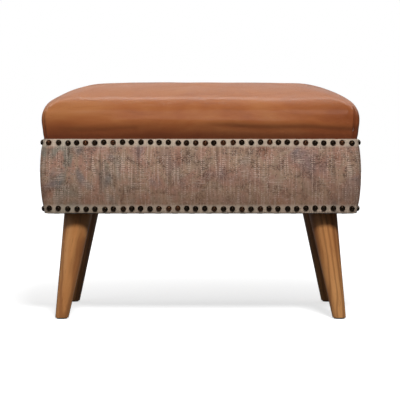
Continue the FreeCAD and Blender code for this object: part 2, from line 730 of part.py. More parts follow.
def screws():
    block = screw_shape(value("block_screw_length"))
    height = value("underside_height + block_screw_rise")
    lower = value("underside_height + block_screw_rise - block_screw_stagger")
    places = []
    for corner, sx, sy in corners:
        x, y = value(f"{inner_x} - block_screw_inset"), value(f"{inner_y} - block_screw_inset")
        places.append(((sx * x, sy * value(rail_y), height), (0, sy, 0)))
        places.append(((sx * value(rail_x), sy * y, lower), (sx, 0, 0)))
    place_copies("block_screws", block, places)

    deck = screw_shape(value("deck_screw_length"))
    x = value(f"{inner_x} + ledge_width / 2")
    y = value(f"{inner_y} + ledge_width / 2")
    top = value(rail_top)
    spread = value("vent_spread_x")
    spots = [(side * spread, end * y) for side in (-1, 1) for end in (-1, 1)] + [(-x, 0), (x, 0)]
    place_copies("deck_screws", deck, [((a, b, top), (0, 0, 1)) for a, b in spots])


def main():
    long_rail("front_rail", -1)
    long_rail("back_rail", 1)
    side_rail("left_rail", -1)
    side_rail("right_rail", 1)
    cross_brace()
    seat_deck()
    screws()
    bolts, legs = [], []
    for corner, sx, sy in corners:
        corner_block(corner, sx, sy)
        bolts.append(coach_bolt(f"Bolt_{corner}", sx, sy))
        legs.append(leg(corner, sx, sy, bolts[-1]))
    group("legs", legs)
    group("leg_bolts", bolts)
    group("foot_glides", [glide(f"Glide_{corner}", sx, sy) for corner, sx, sy in corners])
    dust_cover()
    seat()
    for label, side, along_x in (("front_pad", -1, True), ("back_pad", 1, True),
                                 ("left_pad", -1, False), ("right_pad", 1, False)):
        band_pad(label, side, along_x)
    side_band()
    nails()
    doc.recompute()
    for made in doc.Objects:
        faults = [word for word in made.State if word in ("Invalid", "Error")]
        if faults:
            raise RuntimeError(f"{made.Name} failed: {faults}")
    for made in parts:
        if made.Shape.isNull() or not made.Shape.isValid():
            raise RuntimeError(f"{made.Label} has no valid shape")
    os.makedirs("parts", exist_ok=True)
    for made in parts:
        made.Shape.exportStep(f"parts/{made.Label}.step")
        low, high = made.Shape.BoundBox.ZMin, made.Shape.BoundBox.ZMax
        print(f"{made.Label}: {len(made.Shape.Solids)} solids, {low:.1f} to {high:.1f} mm high")


main()
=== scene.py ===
import json
import math
import random
import bmesh
import bpy
from mathutils import Matrix, Quaternion, Vector, kdtree, noise


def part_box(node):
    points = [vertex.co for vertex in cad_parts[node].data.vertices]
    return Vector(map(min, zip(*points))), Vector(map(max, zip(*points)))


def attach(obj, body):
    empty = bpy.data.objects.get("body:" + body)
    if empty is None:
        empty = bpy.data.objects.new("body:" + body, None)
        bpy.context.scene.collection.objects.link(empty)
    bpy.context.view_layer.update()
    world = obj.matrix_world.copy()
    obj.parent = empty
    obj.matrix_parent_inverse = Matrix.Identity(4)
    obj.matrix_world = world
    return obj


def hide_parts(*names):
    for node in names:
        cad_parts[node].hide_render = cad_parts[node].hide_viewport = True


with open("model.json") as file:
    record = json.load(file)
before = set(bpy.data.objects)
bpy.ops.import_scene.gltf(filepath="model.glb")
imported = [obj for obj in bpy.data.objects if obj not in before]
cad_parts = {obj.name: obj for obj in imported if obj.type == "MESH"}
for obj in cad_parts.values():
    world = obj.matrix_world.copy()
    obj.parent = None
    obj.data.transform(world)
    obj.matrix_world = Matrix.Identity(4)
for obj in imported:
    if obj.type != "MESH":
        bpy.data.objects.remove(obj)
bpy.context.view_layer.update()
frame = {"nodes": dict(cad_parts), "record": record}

scene = bpy.context.scene
slots = {entry["node"]: entry["material_slot"] for entry in frame["record"]["subparts"]}
railLow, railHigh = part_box("front_rail")
bandLow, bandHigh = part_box("side_band")
sheetLow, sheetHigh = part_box("dust_cover")
legsLow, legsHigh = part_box("legs")
seamZ = railHigh[2]
railX, railY = railHigh[0], -railLow[1]
halfX, halfY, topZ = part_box("seat_cover")[1]
# each side's name, whether it runs along X, and which way it faces
sides = (("front", True, -1), ("back", True, 1), ("left", False, -1), ("right", False, 1))


# helpers for numbers

def smoothStep(low, high, x):
    t = min(max((x - low) / (high - low), 0), 1)
    return t * t * (3 - 2 * t)


def bellCurve(x, width):
    return math.exp(-((x / width) ** 2))


# helpers for meshes

def addPiece(name, bm, material, replaced=()):
    mesh = bpy.data.meshes.new(name)
    bm.to_mesh(mesh)
    bm.free()
    mesh.materials.append(material)
    mesh.shade_smooth()
    piece = bpy.data.objects.new(name, mesh)
    scene.collection.objects.link(piece)
    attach(piece, "root")
    if replaced:
        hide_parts(*replaced)
    return piece


def applyModifiers(piece):
    bpy.context.view_layer.update()
    shaped = piece.evaluated_get(bpy.context.evaluated_depsgraph_get())
    mesh = bpy.data.meshes.new_from_object(shaped)
    piece.modifiers.clear()
    old = piece.data
    piece.data = mesh
    bpy.data.meshes.remove(old)
    mesh.name = piece.name


def addSubdivision(piece, levels):
    made = piece.modifiers.new("Subdivision", "SUBSURF")
    made.levels = made.render_levels = levels


def addThickness(piece, thickness):
    made = piece.modifiers.new("Thickness", "SOLIDIFY")
    made.thickness = thickness
    made.offset = -1
    made.use_even_offset = True


def softBevel(bm, edges, offset, segments):
    bmesh.ops.bevel(bm, geom=edges, offset=offset, offset_type="OFFSET", segments=segments, profile=0.5,
                    affect="EDGES", material=-1)


def turnOutwards(bm):
    bmesh.ops.remove_doubles(bm, verts=bm.verts, dist=1e-6)
    bmesh.ops.recalc_face_normals(bm, faces=bm.faces)


def onOutline(x, y, reachX, reachY, radius):
    # takes a point on a rectangle's outline to the same outline with round corners
    signX, signY = math.copysign(1, x), math.copysign(1, y)
    radius = min(radius, reachX, reachY)
    centreX, centreY = reachX - radius, reachY - radius
    alongX = reachY - abs(y) <= reachX - abs(x)
    past = (abs(x) - centreX) if alongX else (abs(y) - centreY)
    if past <= 0:
        return Vector((x, y, 0))
    turn = past / radius * math.pi / 4
    first, second = radius * math.sin(turn), radius * math.cos(turn)
    if not alongX:
        first, second = second, first
    return Vector((signX * (centreX + first), signY * (centreY + second), 0))


def roundedRing(reachX, reachY, radius, step, cornerSteps):
    # points round the frame from the middle of the back, with the way each one faces
    points = []
    sides = [(Vector((1, 0)), reachX, reachY), (Vector((0, -1)), reachY, reachX),
             (Vector((-1, 0)), reachX, reachY), (Vector((0, 1)), reachY, reachX)]
    for along, reach, far in sides:
        out = Vector((-along.y, along.x))
        count = max(2, round(2 * (reach - radius) / step))
        for k in range(count):
            shift = (reach - radius) * (2 * k / count - 1)
            points.append((along * shift + out * far, out))
        centre = along * (reach - radius) + out * (far - radius)
        for k in range(cornerSteps):
            turn = math.pi / 2 * k / cornerSteps
            way = out * math.cos(turn) + along * math.sin(turn)
            points.append((centre + way * radius, way))
    half = max(2, round(2 * (reachX - radius) / step)) // 2
    return points[half:] + points[:half]


# helpers for materials

def addNode(tree, kind, inputs=None, **settings):
    made = tree.nodes.new("ShaderNode" + kind)
    for key, setting in settings.items():
        setattr(made, key, setting)
    for key, source in (inputs or {}).items():
        if isinstance(source, bpy.types.NodeSocket):
            tree.links.new(source, made.inputs[key])
        else:
            made.inputs[key].default_value = source
    return made


def maths(tree, operation, *terms, clamp=False):
    return addNode(tree, "Math", dict(enumerate(terms)), operation=operation, use_clamp=clamp).outputs[0]


def noiseOf(tree, place, scale, detail=2.0, roughness=0.5, distortion=0.0):
    inputs = {"Vector": place, "Scale": scale, "Detail": detail, "Roughness": roughness,
              "Distortion": distortion}
    return addNode(tree, "TexNoise", inputs).outputs["Fac"]


def stretched(tree, place, scale, location=(0, 0, 0)):
    return addNode(tree, "Mapping", {"Vector": place, "Scale": scale, "Location": location}).outputs[0]


def span(tree, number, low, high, outLow=0.0, outHigh=1.0):
    inputs = {"Value": number, "From Min": low, "From Max": high, "To Min": outLow, "To Max": outHigh}
    return addNode(tree, "MapRange", inputs, interpolation_type="SMOOTHSTEP").outputs[0]


def ramp(tree, factor, stops):
    made = addNode(tree, "ValToRGB", {"Fac": factor})
    elements = made.color_ramp.elements
    while len(elements) < len(stops):
        elements.new(0.5)
    for element, (position, colour) in zip(elements, stops):
        element.position = position
        element.color = (*colour, 1)
    return made.outputs[0]


def mixed(tree, factor, low, high, blend="MIX"):
    made = tree.nodes.new("ShaderNodeMix")
    made.data_type = "RGBA"
    made.blend_type = blend
    for socket, source in ((made.inputs[0], factor), (made.inputs[6], low), (made.inputs[7], high)):
        if isinstance(source, bpy.types.NodeSocket):
            tree.links.new(source, socket)
        elif socket == made.inputs[0]:
            socket.default_value = source
        else:
            socket.default_value = (*source, 1)
    return made.outputs[2]


def overlaid(tree, colour, tone, source, low, high, amount):
    # lays a tone over the colour where the source goes from low to high
    return mixed(tree, span(tree, source, low, high, 0.0, amount), colour, tone)


def bumped(tree, height, distance, strength=1.0, under=None):
    inputs = {"Height": height, "Distance": distance, "Strength": strength}
    if under:
        inputs["Normal"] = under
    return addNode(tree, "Bump", inputs).outputs[0]


def startMaterial(name, **sockets):
    material = bpy.data.materials.new(name)
    material.use_nodes = True
    tree = material.node_tree
    shader = tree.nodes["Principled BSDF"]
    for word, number in sockets.items():
        label = "".join(" " + letter if letter.isupper() else letter for letter in word).strip()
        shader.inputs[label[0].upper() + label[1:]].default_value = number
    coordinates = tree.nodes.new("ShaderNodeTexCoord")
    return material, tree, shader, coordinates.outputs["Object"]


def finish(tree, shader, colour, roughness=None, normal=None):
    for socket, source in (("Base Color", colour), ("Roughness", roughness), ("Normal", normal)):
        if source is not None:
            tree.links.new(source, shader.inputs[socket])


# materials of what shows

leather = {
    "worn": (0.47, 0.180, 0.060), "body": (0.375, 0.115, 0.034), "deep": (0.26, 0.066, 0.020),
    "shadowTone": (0.135, 0.028, 0.010), "grainSize": 900, "wrinkleDepth": 0.0009,
}


def leatherMaterial():
    material, tree, shader, place = startMaterial("tanLeather", CoatWeight=0.13, CoatRoughness=0.14)
    shader.inputs["Specular IOR Level"].default_value = 0.45
    clouds = noiseOf(tree, stretched(tree, place, (1, 1, 1.8)), 5.5, 4, 0.55, 0.6)
    colour = ramp(tree, clouds, [(0.30, leather["deep"]), (0.50, leather["body"]), (0.72, leather["worn"])])
    height = addNode(tree, "SeparateXYZ", {"Vector": place}).outputs["Z"]
    wander = noiseOf(tree, place, 9, 3, 0.5)
    lifted = maths(tree, "MULTIPLY_ADD", wander, 0.022, height)
    # painted shade: darker towards the seam, where the side turns under
    low = span(tree, lifted, seamZ + 0.006, seamZ + 0.054, 0.82, 0.0)
    colour = mixed(tree, low, colour, leather["shadowTone"])
    # painted light: lighter higher up towards the top, mixed with the worn tone
    high = span(tree, lifted, seamZ + 0.052, seamZ + 0.098, 0.0, 0.42)
    colour = mixed(tree, high, colour, leather["worn"])
    # painted shade: the creases and pleat folds are darkened towards the shadow tone
    rubbed = addNode(tree, "Attribute", attribute_name="worn").outputs["Fac"]
    colour = mixed(tree, maths(tree, "MULTIPLY", rubbed, 0.6), colour, leather["shadowTone"])
    streaks = noiseOf(tree, stretched(tree, place, (3, 3, 26)), 3.2, 4, 0.6, 1.2)
    colour = overlaid(tree, colour, leather["deep"], streaks, 0.52, 0.70, 0.30)
    cells = addNode(tree, "TexVoronoi", {"Vector": place, "Scale": leather["grainSize"]},
                    feature="DISTANCE_TO_EDGE").outputs["Distance"]
    grain = span(tree, cells, 0.0, 0.16, 0.0, 1.0)
    pores = noiseOf(tree, place, 2600, 2, 0.6)
    creases = addNode(tree, "TexVoronoi", {"Vector": stretched(tree, place, (1, 1, 0.7)), "Scale": 130,
                                           "Randomness": 1.0}, feature="DISTANCE_TO_EDGE").outputs["Distance"]
    fine = span(tree, creases, 0.0, 0.08, 0.0, 1.0)
    patches = span(tree, noiseOf(tree, place, 14, 2, 0.5), 0.45, 0.65)
    fine = maths(tree, "MULTIPLY", maths(tree, "SUBTRACT", 1.0, fine), patches)
    soft = noiseOf(tree, stretched(tree, place, (1, 1, 2.4)), 28, 3, 0.55, 0.5)
    normal = bumped(tree, soft, leather["wrinkleDepth"], 0.8)
    normal = bumped(tree, maths(tree, "SUBTRACT", 1.0, fine), 0.0003, 0.35, normal)
    normal = bumped(tree, maths(tree, "MULTIPLY_ADD", pores, 0.4, grain), 0.00018, 0.35, normal)
    rough = maths(tree, "MULTIPLY_ADD", clouds, 0.20, 0.43)
    rough = maths(tree, "MULTIPLY_ADD", grain, -0.05, rough)
    finish(tree, shader, colour, rough, normal)
    return material


weave = {
    "thread": 0.0021, "rose": (0.53, 0.285, 0.205), "tan": (0.52, 0.335, 0.225), "clay": (0.42, 0.195, 0.115),
    "mauve": (0.34, 0.235, 0.225), "sage": (0.30, 0.29, 0.235), "slate": (0.20, 0.205, 0.215),
    "fleck": (0.80, 0.62, 0.50), "ink": (0.115, 0.060, 0.040), "umber": (0.27, 0.145, 0.085),
    "edge": (0.86, 0.73, 0.57),
}


def weaveMaterial():
    material, tree, shader, place = startMaterial("fadedWeave", Roughness=0.92, SheenWeight=0.12,
                                                  SheenRoughness=0.6)
    shader.inputs["Specular IOR Level"].default_value = 0.2
    cloth = addNode(tree, "UVMap", uv_map="cloth").outputs[0]
    parts = addNode(tree, "SeparateXYZ", {"Vector": cloth})
    along, up = parts.outputs["X"], parts.outputs["Y"]
    worldX = addNode(tree, "SeparateXYZ", {"Vector": place}).outputs["X"]

    patchNoise = noiseOf(tree, stretched(tree, cloth, (9, 6, 1)), 1.6, 3, 0.55, 0.8)
    colour = ramp(tree, patchNoise, [(0.30, weave["mauve"]), (0.42, weave["rose"]), (0.52, weave["tan"]),
                                     (0.62, weave["rose"]), (0.74, weave["clay"])])
    cool = noiseOf(tree, stretched(tree, cloth, (14, 9, 1), (3, 1, 0)), 1.5, 3, 0.6, 0.5)
    # the sage and slate patches belong to the weave; their growing stronger towards the left is a painted
    # cool light from that side
    coolLightLeft = span(tree, worldX, -0.31, 0.02, 1.0, 0.22)
    sage = maths(tree, "MULTIPLY", span(tree, cool, 0.46, 0.62), coolLightLeft)
    colour = mixed(tree, maths(tree, "MULTIPLY", sage, 0.85), colour, weave["sage"])
    bluish = noiseOf(tree, stretched(tree, cloth, (10, 7, 1), (7, 5, 0)), 1.9, 2, 0.5)
    slate = maths(tree, "MULTIPLY", span(tree, bluish, 0.54, 0.66), coolLightLeft)
    colour = mixed(tree, maths(tree, "MULTIPLY", slate, 0.75), colour, weave["slate"])

    # scrolls in the pile, worn away in places
    curl = stretched(tree, cloth, (21, 24, 1), (0.3, 0.2, 0))
    bend = addNode(tree, "TexNoise", {"Vector": curl, "Scale": 1.1, "Detail": 2.0}).outputs["Color"]
    bent = addNode(tree, "VectorMath", {0: bend, 1: (1.7, 1.7, 0)}, operation="MULTIPLY").outputs[0]
    bent = addNode(tree, "VectorMath", {0: curl, 1: bent}, operation="ADD").outputs[0]
    rim = addNode(tree, "TexVoronoi", {"Vector": bent, "Scale": 1.0}, feature="DISTANCE_TO_EDGE").outputs[0]
    scroll = span(tree, rim, 0.03, 0.17, 1.0, 0.0)
    wear = span(tree, noiseOf(tree, stretched(tree, cloth, (30, 30, 1)), 1.2, 3, 0.6), 0.40, 0.56)
    scroll = maths(tree, "MULTIPLY", scroll, wear)

    # one random number for each knot of the weave
    pitch = weave["thread"]
    cell = addNode(tree, "VectorMath", {0: cloth, 1: (pitch, pitch * 0.9, 1)}, operation="SNAP").outputs[0]
    knots = addNode(tree, "TexWhiteNoise", {"Vector": cell}, noise_dimensions="3D").outputs["Value"]
    speckle = span(tree, knots, 0.35, 0.75, 0.15, 1.0)
    scroll = maths(tree, "MULTIPLY", scroll, speckle)
    colour = mixed(tree, maths(tree, "MULTIPLY", scroll, 0.78), colour, weave["ink"])

    warp = noiseOf(tree, stretched(tree, cloth, (420, 13, 1)), 1.0, 2, 0.6)
    colour = overlaid(tree, colour, weave["ink"], warp, 0.40, 0.30, 0.45)
    colour = overlaid(tree, colour, weave["fleck"], warp, 0.60, 0.72, 0.45)
    column = noiseOf(tree, stretched(tree, cloth, (300, 17, 1), (5, 2, 0)), 1.0, 1, 0.5)
    bead = maths(tree, "ABSOLUTE", maths(tree, "SINE", maths(tree, "MULTIPLY", up, math.pi / 0.0036)))
    bead = maths(tree, "MULTIPLY", span(tree, bead, 0.45, 0.85), span(tree, column, 0.56, 0.64))
    colour = mixed(tree, maths(tree, "MULTIPLY", bead, 0.8), colour, weave["fleck"])
    bars = noiseOf(tree, stretched(tree, cloth, (85, 5, 1)), 1.0, 2, 0.5)
    colour = overlaid(tree, colour, weave["ink"], bars, 0.42, 0.28, 0.45)
    weft = noiseOf(tree, stretched(tree, cloth, (38, 520, 1)), 1.0, 1, 0.5)
    worn = span(tree, noiseOf(tree, stretched(tree, cloth, (16, 22, 1), (1, 8, 0)), 1.0, 2, 0.5), 0.50, 0.62)
    dashes = maths(tree, "MULTIPLY", span(tree, weft, 0.56, 0.66), worn)
    colour = mixed(tree, maths(tree, "MULTIPLY", dashes, 0.6), colour, weave["fleck"])
    colour = overlaid(tree, colour, weave["fleck"], knots, 0.90, 0.97, 0.45)
    colour = overlaid(tree, colour, weave["ink"], knots, 0.10, 0.05, 0.50)

    # painted shade: browner and darker towards the bottom, where the band's bow faces down
    lower = maths(tree, "MULTIPLY_ADD", patchNoise, 0.05, up)
    colour = mixed(tree, span(tree, lower, 0.04, 0.115, 0.45, 0.0), colour, weave["umber"])

    # the pressed edges under the nails
    tall = bandHigh[2] - bandLow[2]
    nearTop = span(tree, up, tall - 0.017, tall - 0.010, 0.0, 0.62)
    nearLow = span(tree, up, 0.019, 0.012, 0.0, 0.48)
    edges = maths(tree, "MAXIMUM", nearTop, nearLow)
    colour = mixed(tree, edges, colour, weave["edge"])

    threads = []
    for run, size in ((along, pitch), (up, pitch * 0.9)):
        wave = maths(tree, "SINE", maths(tree, "MULTIPLY", run, 2 * math.pi / size))
        threads.append(maths(tree, "ABSOLUTE", wave))
    relief = maths(tree, "MULTIPLY", threads[0], threads[1])
    relief = maths(tree, "ADD", relief, maths(tree, "MULTIPLY", knots, 0.7))
    relief = maths(tree, "ADD", relief, warp)
    shade = mixed(tree, relief, (0.45, 0.45, 0.45), (1.25, 1.25, 1.25))
    colour = mixed(tree, 0.35, colour, shade, "MULTIPLY")
    normal = bumped(tree, relief, 0.0007, 0.8)
    slubs = noiseOf(tree, stretched(tree, cloth, (45, 30, 1)), 1.0, 2, 0.5)
    normal = bumped(tree, slubs, 0.0016, 0.7, normal)
    finish(tree, shader, colour, None, normal)
    return material


bronze = {"dark": (0.040, 0.027, 0.018), "warm": (0.210, 0.085, 0.042), "rubbed": (0.30, 0.180, 0.100)}


def bronzeMaterial():
    material, tree, shader, place = startMaterial("antiqueBronze", Metallic=1.0)
    tint = addNode(tree, "Attribute", attribute_name="tint").outputs["Fac"]
    patina = noiseOf(tree, place, 420, 3, 0.6)
    colour = ramp(tree, tint, [(0.0, bronze["dark"]), (0.7, bronze["dark"]), (1.0, bronze["warm"])])
    colour = overlaid(tree, colour, bronze["rubbed"], patina, 0.50, 0.72, 0.6)
    normal = bumped(tree, noiseOf(tree, place, 900, 2, 0.5), 0.00025, 0.5)
    finish(tree, shader, colour, span(tree, patina, 0.3, 0.7, 0.16, 0.34), normal)
    return material


oak = {"light": (0.72, 0.345, 0.125), "body": (0.56, 0.230, 0.075), "dark": (0.27, 0.090, 0.028)}


def oakMaterial():
    material, tree, shader, place = startMaterial("oiledOak", CoatWeight=0.10, CoatRoughness=0.35)
    grain = addNode(tree, "Attribute", attribute_name="grain").outputs["Vector"]
    drift = addNode(tree, "TexNoise", {"Vector": stretched(tree, grain, (9, 9, 2.2)), "Scale": 1.5,
                                       "Detail": 3.0}).outputs["Color"]
    drift = addNode(tree, "VectorMath", {0: drift, 1: (0.035, 0.035, 0)}, operation="MULTIPLY").outputs[0]
    drifted = addNode(tree, "VectorMath", {0: grain, 1: drift}, operation="ADD").outputs[0]
    rings = addNode(tree, "TexWave", {"Vector": stretched(tree, drifted, (1, 1, 0.10), (0.031, 0.012, 0)),
                                      "Scale": 33.0, "Distortion": 1.5, "Detail": 2.0, "Detail Scale": 1.2},
                    wave_type="RINGS", rings_direction="Z").outputs["Fac"]
    fibres = noiseOf(tree, stretched(tree, grain, (700, 700, 16)), 1.0, 3, 0.65)
    broad = noiseOf(tree, stretched(tree, grain, (30, 30, 4)), 1.0, 3, 0.5)
    colour = ramp(tree, broad, [(0.30, oak["dark"]), (0.48, oak["body"]), (0.72, oak["light"])])
    colour = overlaid(tree, colour, oak["dark"], rings, 0.55, 1.0, 0.50)
    colour = overlaid(tree, colour, oak["light"], rings, 0.35, 0.0, 0.35)
    colour = overlaid(tree, colour, oak["dark"], fibres, 0.44, 0.30, 0.55)
    normal = bumped(tree, maths(tree, "ADD", fibres, maths(tree, "MULTIPLY", rings, 0.4)), 0.0002, 0.5)
    finish(tree, shader, colour, span(tree, fibres, 0.2, 0.8, 0.50, 0.38), normal)
    return material


# materials of what lies inside and underneath

def boardMaterial(name, pale, dark, grainAxis):
    # plain sawn wood; grainAxis is the stretch of the grain along X, Y and Z
    material, tree, shader, place = startMaterial(name, Roughness=0.72)
    rings = noiseOf(tree, stretched(tree, place, grainAxis), 1.0, 3, 0.6, 1.0)
    fibres = noiseOf(tree, stretched(tree, place, tuple(8 * number for number in grainAxis)), 1.0, 2, 0.6)
    colour = ramp(tree, rings, [(0.35, dark), (0.50, pale), (0.60, dark), (0.72, pale)])
    colour = overlaid(tree, colour, dark, fibres, 0.5, 0.3, 0.4)
    finish(tree, shader, colour, None, bumped(tree, fibres, 0.0003, 0.5))
    return material


def plainMaterial(name, colour, second, scale, roughness, depth=0.0003, metallic=0.0):
    material, tree, shader, place = startMaterial(name, Metallic=metallic)
    patches = noiseOf(tree, place, scale, 3, 0.6)
    fine = noiseOf(tree, place, scale * 8, 2, 0.6)
    tone = mixed(tree, span(tree, patches, 0.35, 0.65), colour, second)
    rough = maths(tree, "MULTIPLY_ADD", patches, 0.15, roughness - 0.07)
    finish(tree, shader, tone, rough, bumped(tree, fine, depth, 0.6))
    return material


def cambricMaterial():
    material, tree, shader, place = startMaterial("blackCambric", Roughness=0.9)
    dots = addNode(tree, "TexVoronoi", {"Vector": place, "Scale": 420.0, "Randomness": 0.35}).outputs[0]
    fibres = noiseOf(tree, place, 900, 2, 0.7)
    colour = mixed(tree, span(tree, dots, 0.2, 0.5), (0.012, 0.012, 0.013), (0.040, 0.040, 0.043))
    colour = overlaid(tree, colour, (0.075, 0.075, 0.08), fibres, 0.5, 0.75, 0.5)
    finish(tree, shader, colour, None, bumped(tree, dots, 0.0003, 0.7))
    return material


materials = {
    "tan_leather": leatherMaterial(),
    "faded_weave": weaveMaterial(),
    "antique_bronze": bronzeMaterial(),
    "oiled_oak": oakMaterial(),
    "softwood": boardMaterial("softwood", (0.62, 0.43, 0.24), (0.42, 0.25, 0.12), (6, 90, 90)),
    "plywood": boardMaterial("plywood", (0.55, 0.39, 0.22), (0.36, 0.22, 0.11), (5, 45, 700)),
    "zinc_steel": plainMaterial("zincSteel", (0.55, 0.56, 0.58), (0.40, 0.40, 0.42), 300, 0.35, 0.0001, 1.0),
    "glide_plastic": plainMaterial("glidePlastic", (0.022, 0.018, 0.015), (0.040, 0.033, 0.028), 200, 0.55),
    "black_cambric": cambricMaterial(),
    "foam": plainMaterial("foam", (0.78, 0.70, 0.45), (0.70, 0.60, 0.36), 90, 0.95, 0.0012),
    "wadding": plainMaterial("wadding", (0.80, 0.80, 0.78), (0.68, 0.68, 0.66), 60, 0.95, 0.0015),
}
print("materials made:", len(materials))


# the seat: leather over wadding and foam

seat = {
    "widestRise": 0.037, "shoulderSlope": 38, "cornerRadius": 0.018, "cornerGrowth": 0.40,
    "tailDepth": 0.014, "gridStep": 0.0062, "splitAngle": 50, "shoulderRows": 6, "bellyRows": 6,
    "tailRows": 2, "leatherThick": 0.0018, "dome": 0.0005, "startInside": 0.0030, "moveCap": 0.0038,
    "pressure": 4.0, "frames": 20,
}
widestZ = seamZ + seat["widestRise"]
slope = math.radians(seat["shoulderSlope"])
shoulderRadius = seat["cornerRadius"] / (1 - math.sin(slope))
crownRise = topZ - widestZ - shoulderRadius * math.cos(slope)
crownRadius = crownRise / (1 - math.cos(slope))
crownInset = seat["cornerRadius"] + crownRadius * math.sin(slope)
seamInset = 0.0079


def crownHeight(inset):
    # height of the seat where its outline has drawn in by inset from the widest line
    if inset <= seat["cornerRadius"]:
        return widestZ + math.sqrt(max(shoulderRadius**2 - (shoulderRadius - inset) ** 2, 0))
    if inset <= crownInset:
        return topZ - crownRadius + math.sqrt(crownRadius**2 - (crownInset - inset) ** 2)
    return topZ


def seatRings():
    # inset and height of each row of the side, from the split down to the end of the tail
    rows = []
    count = seat["shoulderRows"]
    for k in range(count, -1, -1):
        turn = math.radians(seat["splitAngle"]) * k / count
        rows.append((shoulderRadius * (1 - math.cos(turn)), widestZ + shoulderRadius * math.sin(turn)))
    bellyRadius = (seat["widestRise"] ** 2 + seamInset**2) / (2 * seamInset)
    for k in range(1, seat["bellyRows"] + 1):
        drop = seat["widestRise"] * k / seat["bellyRows"]
        rows.append((bellyRadius - math.sqrt(bellyRadius**2 - drop**2), widestZ - drop))
    for k in range(1, seat["tailRows"] + 1):
        rows.append((seamInset, seamZ - seat["tailDepth"] * k / seat["tailRows"]))
    return rows


def seatShell():
    # a flat grid for the top, its outline pulled down the sides, then every point set on the form
    rows = seatRings()
    splitInset = rows[0][0]
    reachX, reachY = halfX - splitInset, halfY - splitInset
    bm = bmesh.new()
    columns, lines = round(2 * reachX / seat["gridStep"]), round(2 * reachY / seat["gridStep"])
    bmesh.ops.create_grid(bm, x_segments=columns, y_segments=lines, size=1)
    bmesh.ops.scale(bm, vec=(reachX, reachY, 1), verts=bm.verts)
    row = bm.verts.layers.int.new("row")
    for vertex in bm.verts:
        x, y = vertex.co.x, vertex.co.y
        edge = min(reachX - abs(x), reachY - abs(y))
        inset = splitInset + edge
        radius = seat["cornerRadius"] + seat["cornerGrowth"] * inset
        spot = vertex.co
        if edge < min(reachX, reachY):
            spot = onOutline(x, y, halfX - inset, halfY - inset, radius)
        centre = max(1 - (x / reachX) ** 2, 0) * max(1 - (y / reachY) ** 2, 0)
        dome = seat["dome"] * math.sqrt(centre) * smoothStep(0.03, 0.12, edge)
        vertex.co = (spot.x, spot.y, crownHeight(inset) + dome)
    ring = [edge for edge in bm.edges if edge.is_boundary]
    for index in range(1, len(rows)):
        made = bmesh.ops.extrude_edge_only(bm, edges=ring)["geom"]
        ring = [item for item in made if isinstance(item, bmesh.types.BMEdge) and item.is_boundary]
        for vertex in {v for edge in ring for v in edge.verts}:
            vertex[row] = index
    # each column of the side hangs from one point of the top's outline
    for top in [vertex for vertex in bm.verts if not vertex[row]]:
        link = top
        for index, (inset, height) in enumerate(rows[1:], start=1):
            below = [e.other_vert(link) for e in link.link_edges if e.other_vert(link)[row] == index]
            if not below:
                break
            link = below[0]
            link.co = sideSpot(top.co, splitInset, inset, height)
    # the shell is open below, so the way it faces is read from its highest face
    bm.normal_update()
    if max(bm.faces, key=lambda face: face.calc_center_median().z).normal.z < 0:
        bmesh.ops.reverse_faces(bm, faces=bm.faces)
        bm.normal_update()
    return bm, row, len(rows) - 1 - seat["tailRows"]


def sideSpot(top, splitInset, inset, height):
    # the same place along the outline, on the outline that has another inset
    splitRadius = seat["cornerRadius"] + seat["cornerGrowth"] * splitInset
    if height >= widestZ:
        radius = seat["cornerRadius"] + seat["cornerGrowth"] * inset
    else:
        radius = seat["cornerRadius"] - inset
    centreX, centreY = halfX - splitInset - splitRadius, halfY - splitInset - splitRadius
    newX, newY = halfX - inset - radius, halfY - inset - radius
    signX, signY = math.copysign(1, top.x), math.copysign(1, top.y)
    overX, overY = max(abs(top.x) - centreX, 0), max(abs(top.y) - centreY, 0)
    away = math.hypot(overX, overY)
    baseX = min(abs(top.x), centreX) * newX / centreX
    baseY = min(abs(top.y), centreY) * newY / centreY
    return Vector((signX * (baseX + overX / away * radius), signY * (baseY + overY / away * radius), height))


def simulateSwelling(piece, pinned, settings):
    # air pressure in a cloth shell held at its lower edge, with every move capped
    start = [vertex.co.copy() for vertex in piece.data.vertices]
    ways = [vertex.normal.copy() for vertex in piece.data.vertices]
    group = piece.vertex_groups.new(name="held")
    group.add(pinned, 1.0, "REPLACE")
    made = piece.modifiers.new("Cloth", "CLOTH")
    cloth = made.settings
    cloth.quality = 6
    cloth.mass = 0.4
    cloth.tension_stiffness = cloth.compression_stiffness = 120
    cloth.shear_stiffness = 60
    cloth.bending_stiffness = 8
    cloth.use_pressure = True
    cloth.uniform_pressure_force = settings["pressure"]
    cloth.vertex_group_mass = "held"
    cloth.effector_weights.gravity = 0
    made.collision_settings.use_collision = False
    made.point_cache.frame_start = 1
    made.point_cache.frame_end = settings["frames"]
    for number in range(1, settings["frames"] + 1):
        scene.frame_set(number)
    applyModifiers(piece)
    scene.frame_set(1)
    for vertex, before, way in zip(piece.data.vertices, start, ways):
        move = vertex.co - before
        move -= way * min(move.dot(way), 0)  # the padding keeps it from drawing in
        if move.length > 1e-9:
            reach = settings["moveCap"] * math.tanh(move.length / settings["moveCap"])
            vertex.co = before + move * (reach / move.length)
    piece.vertex_groups.clear()


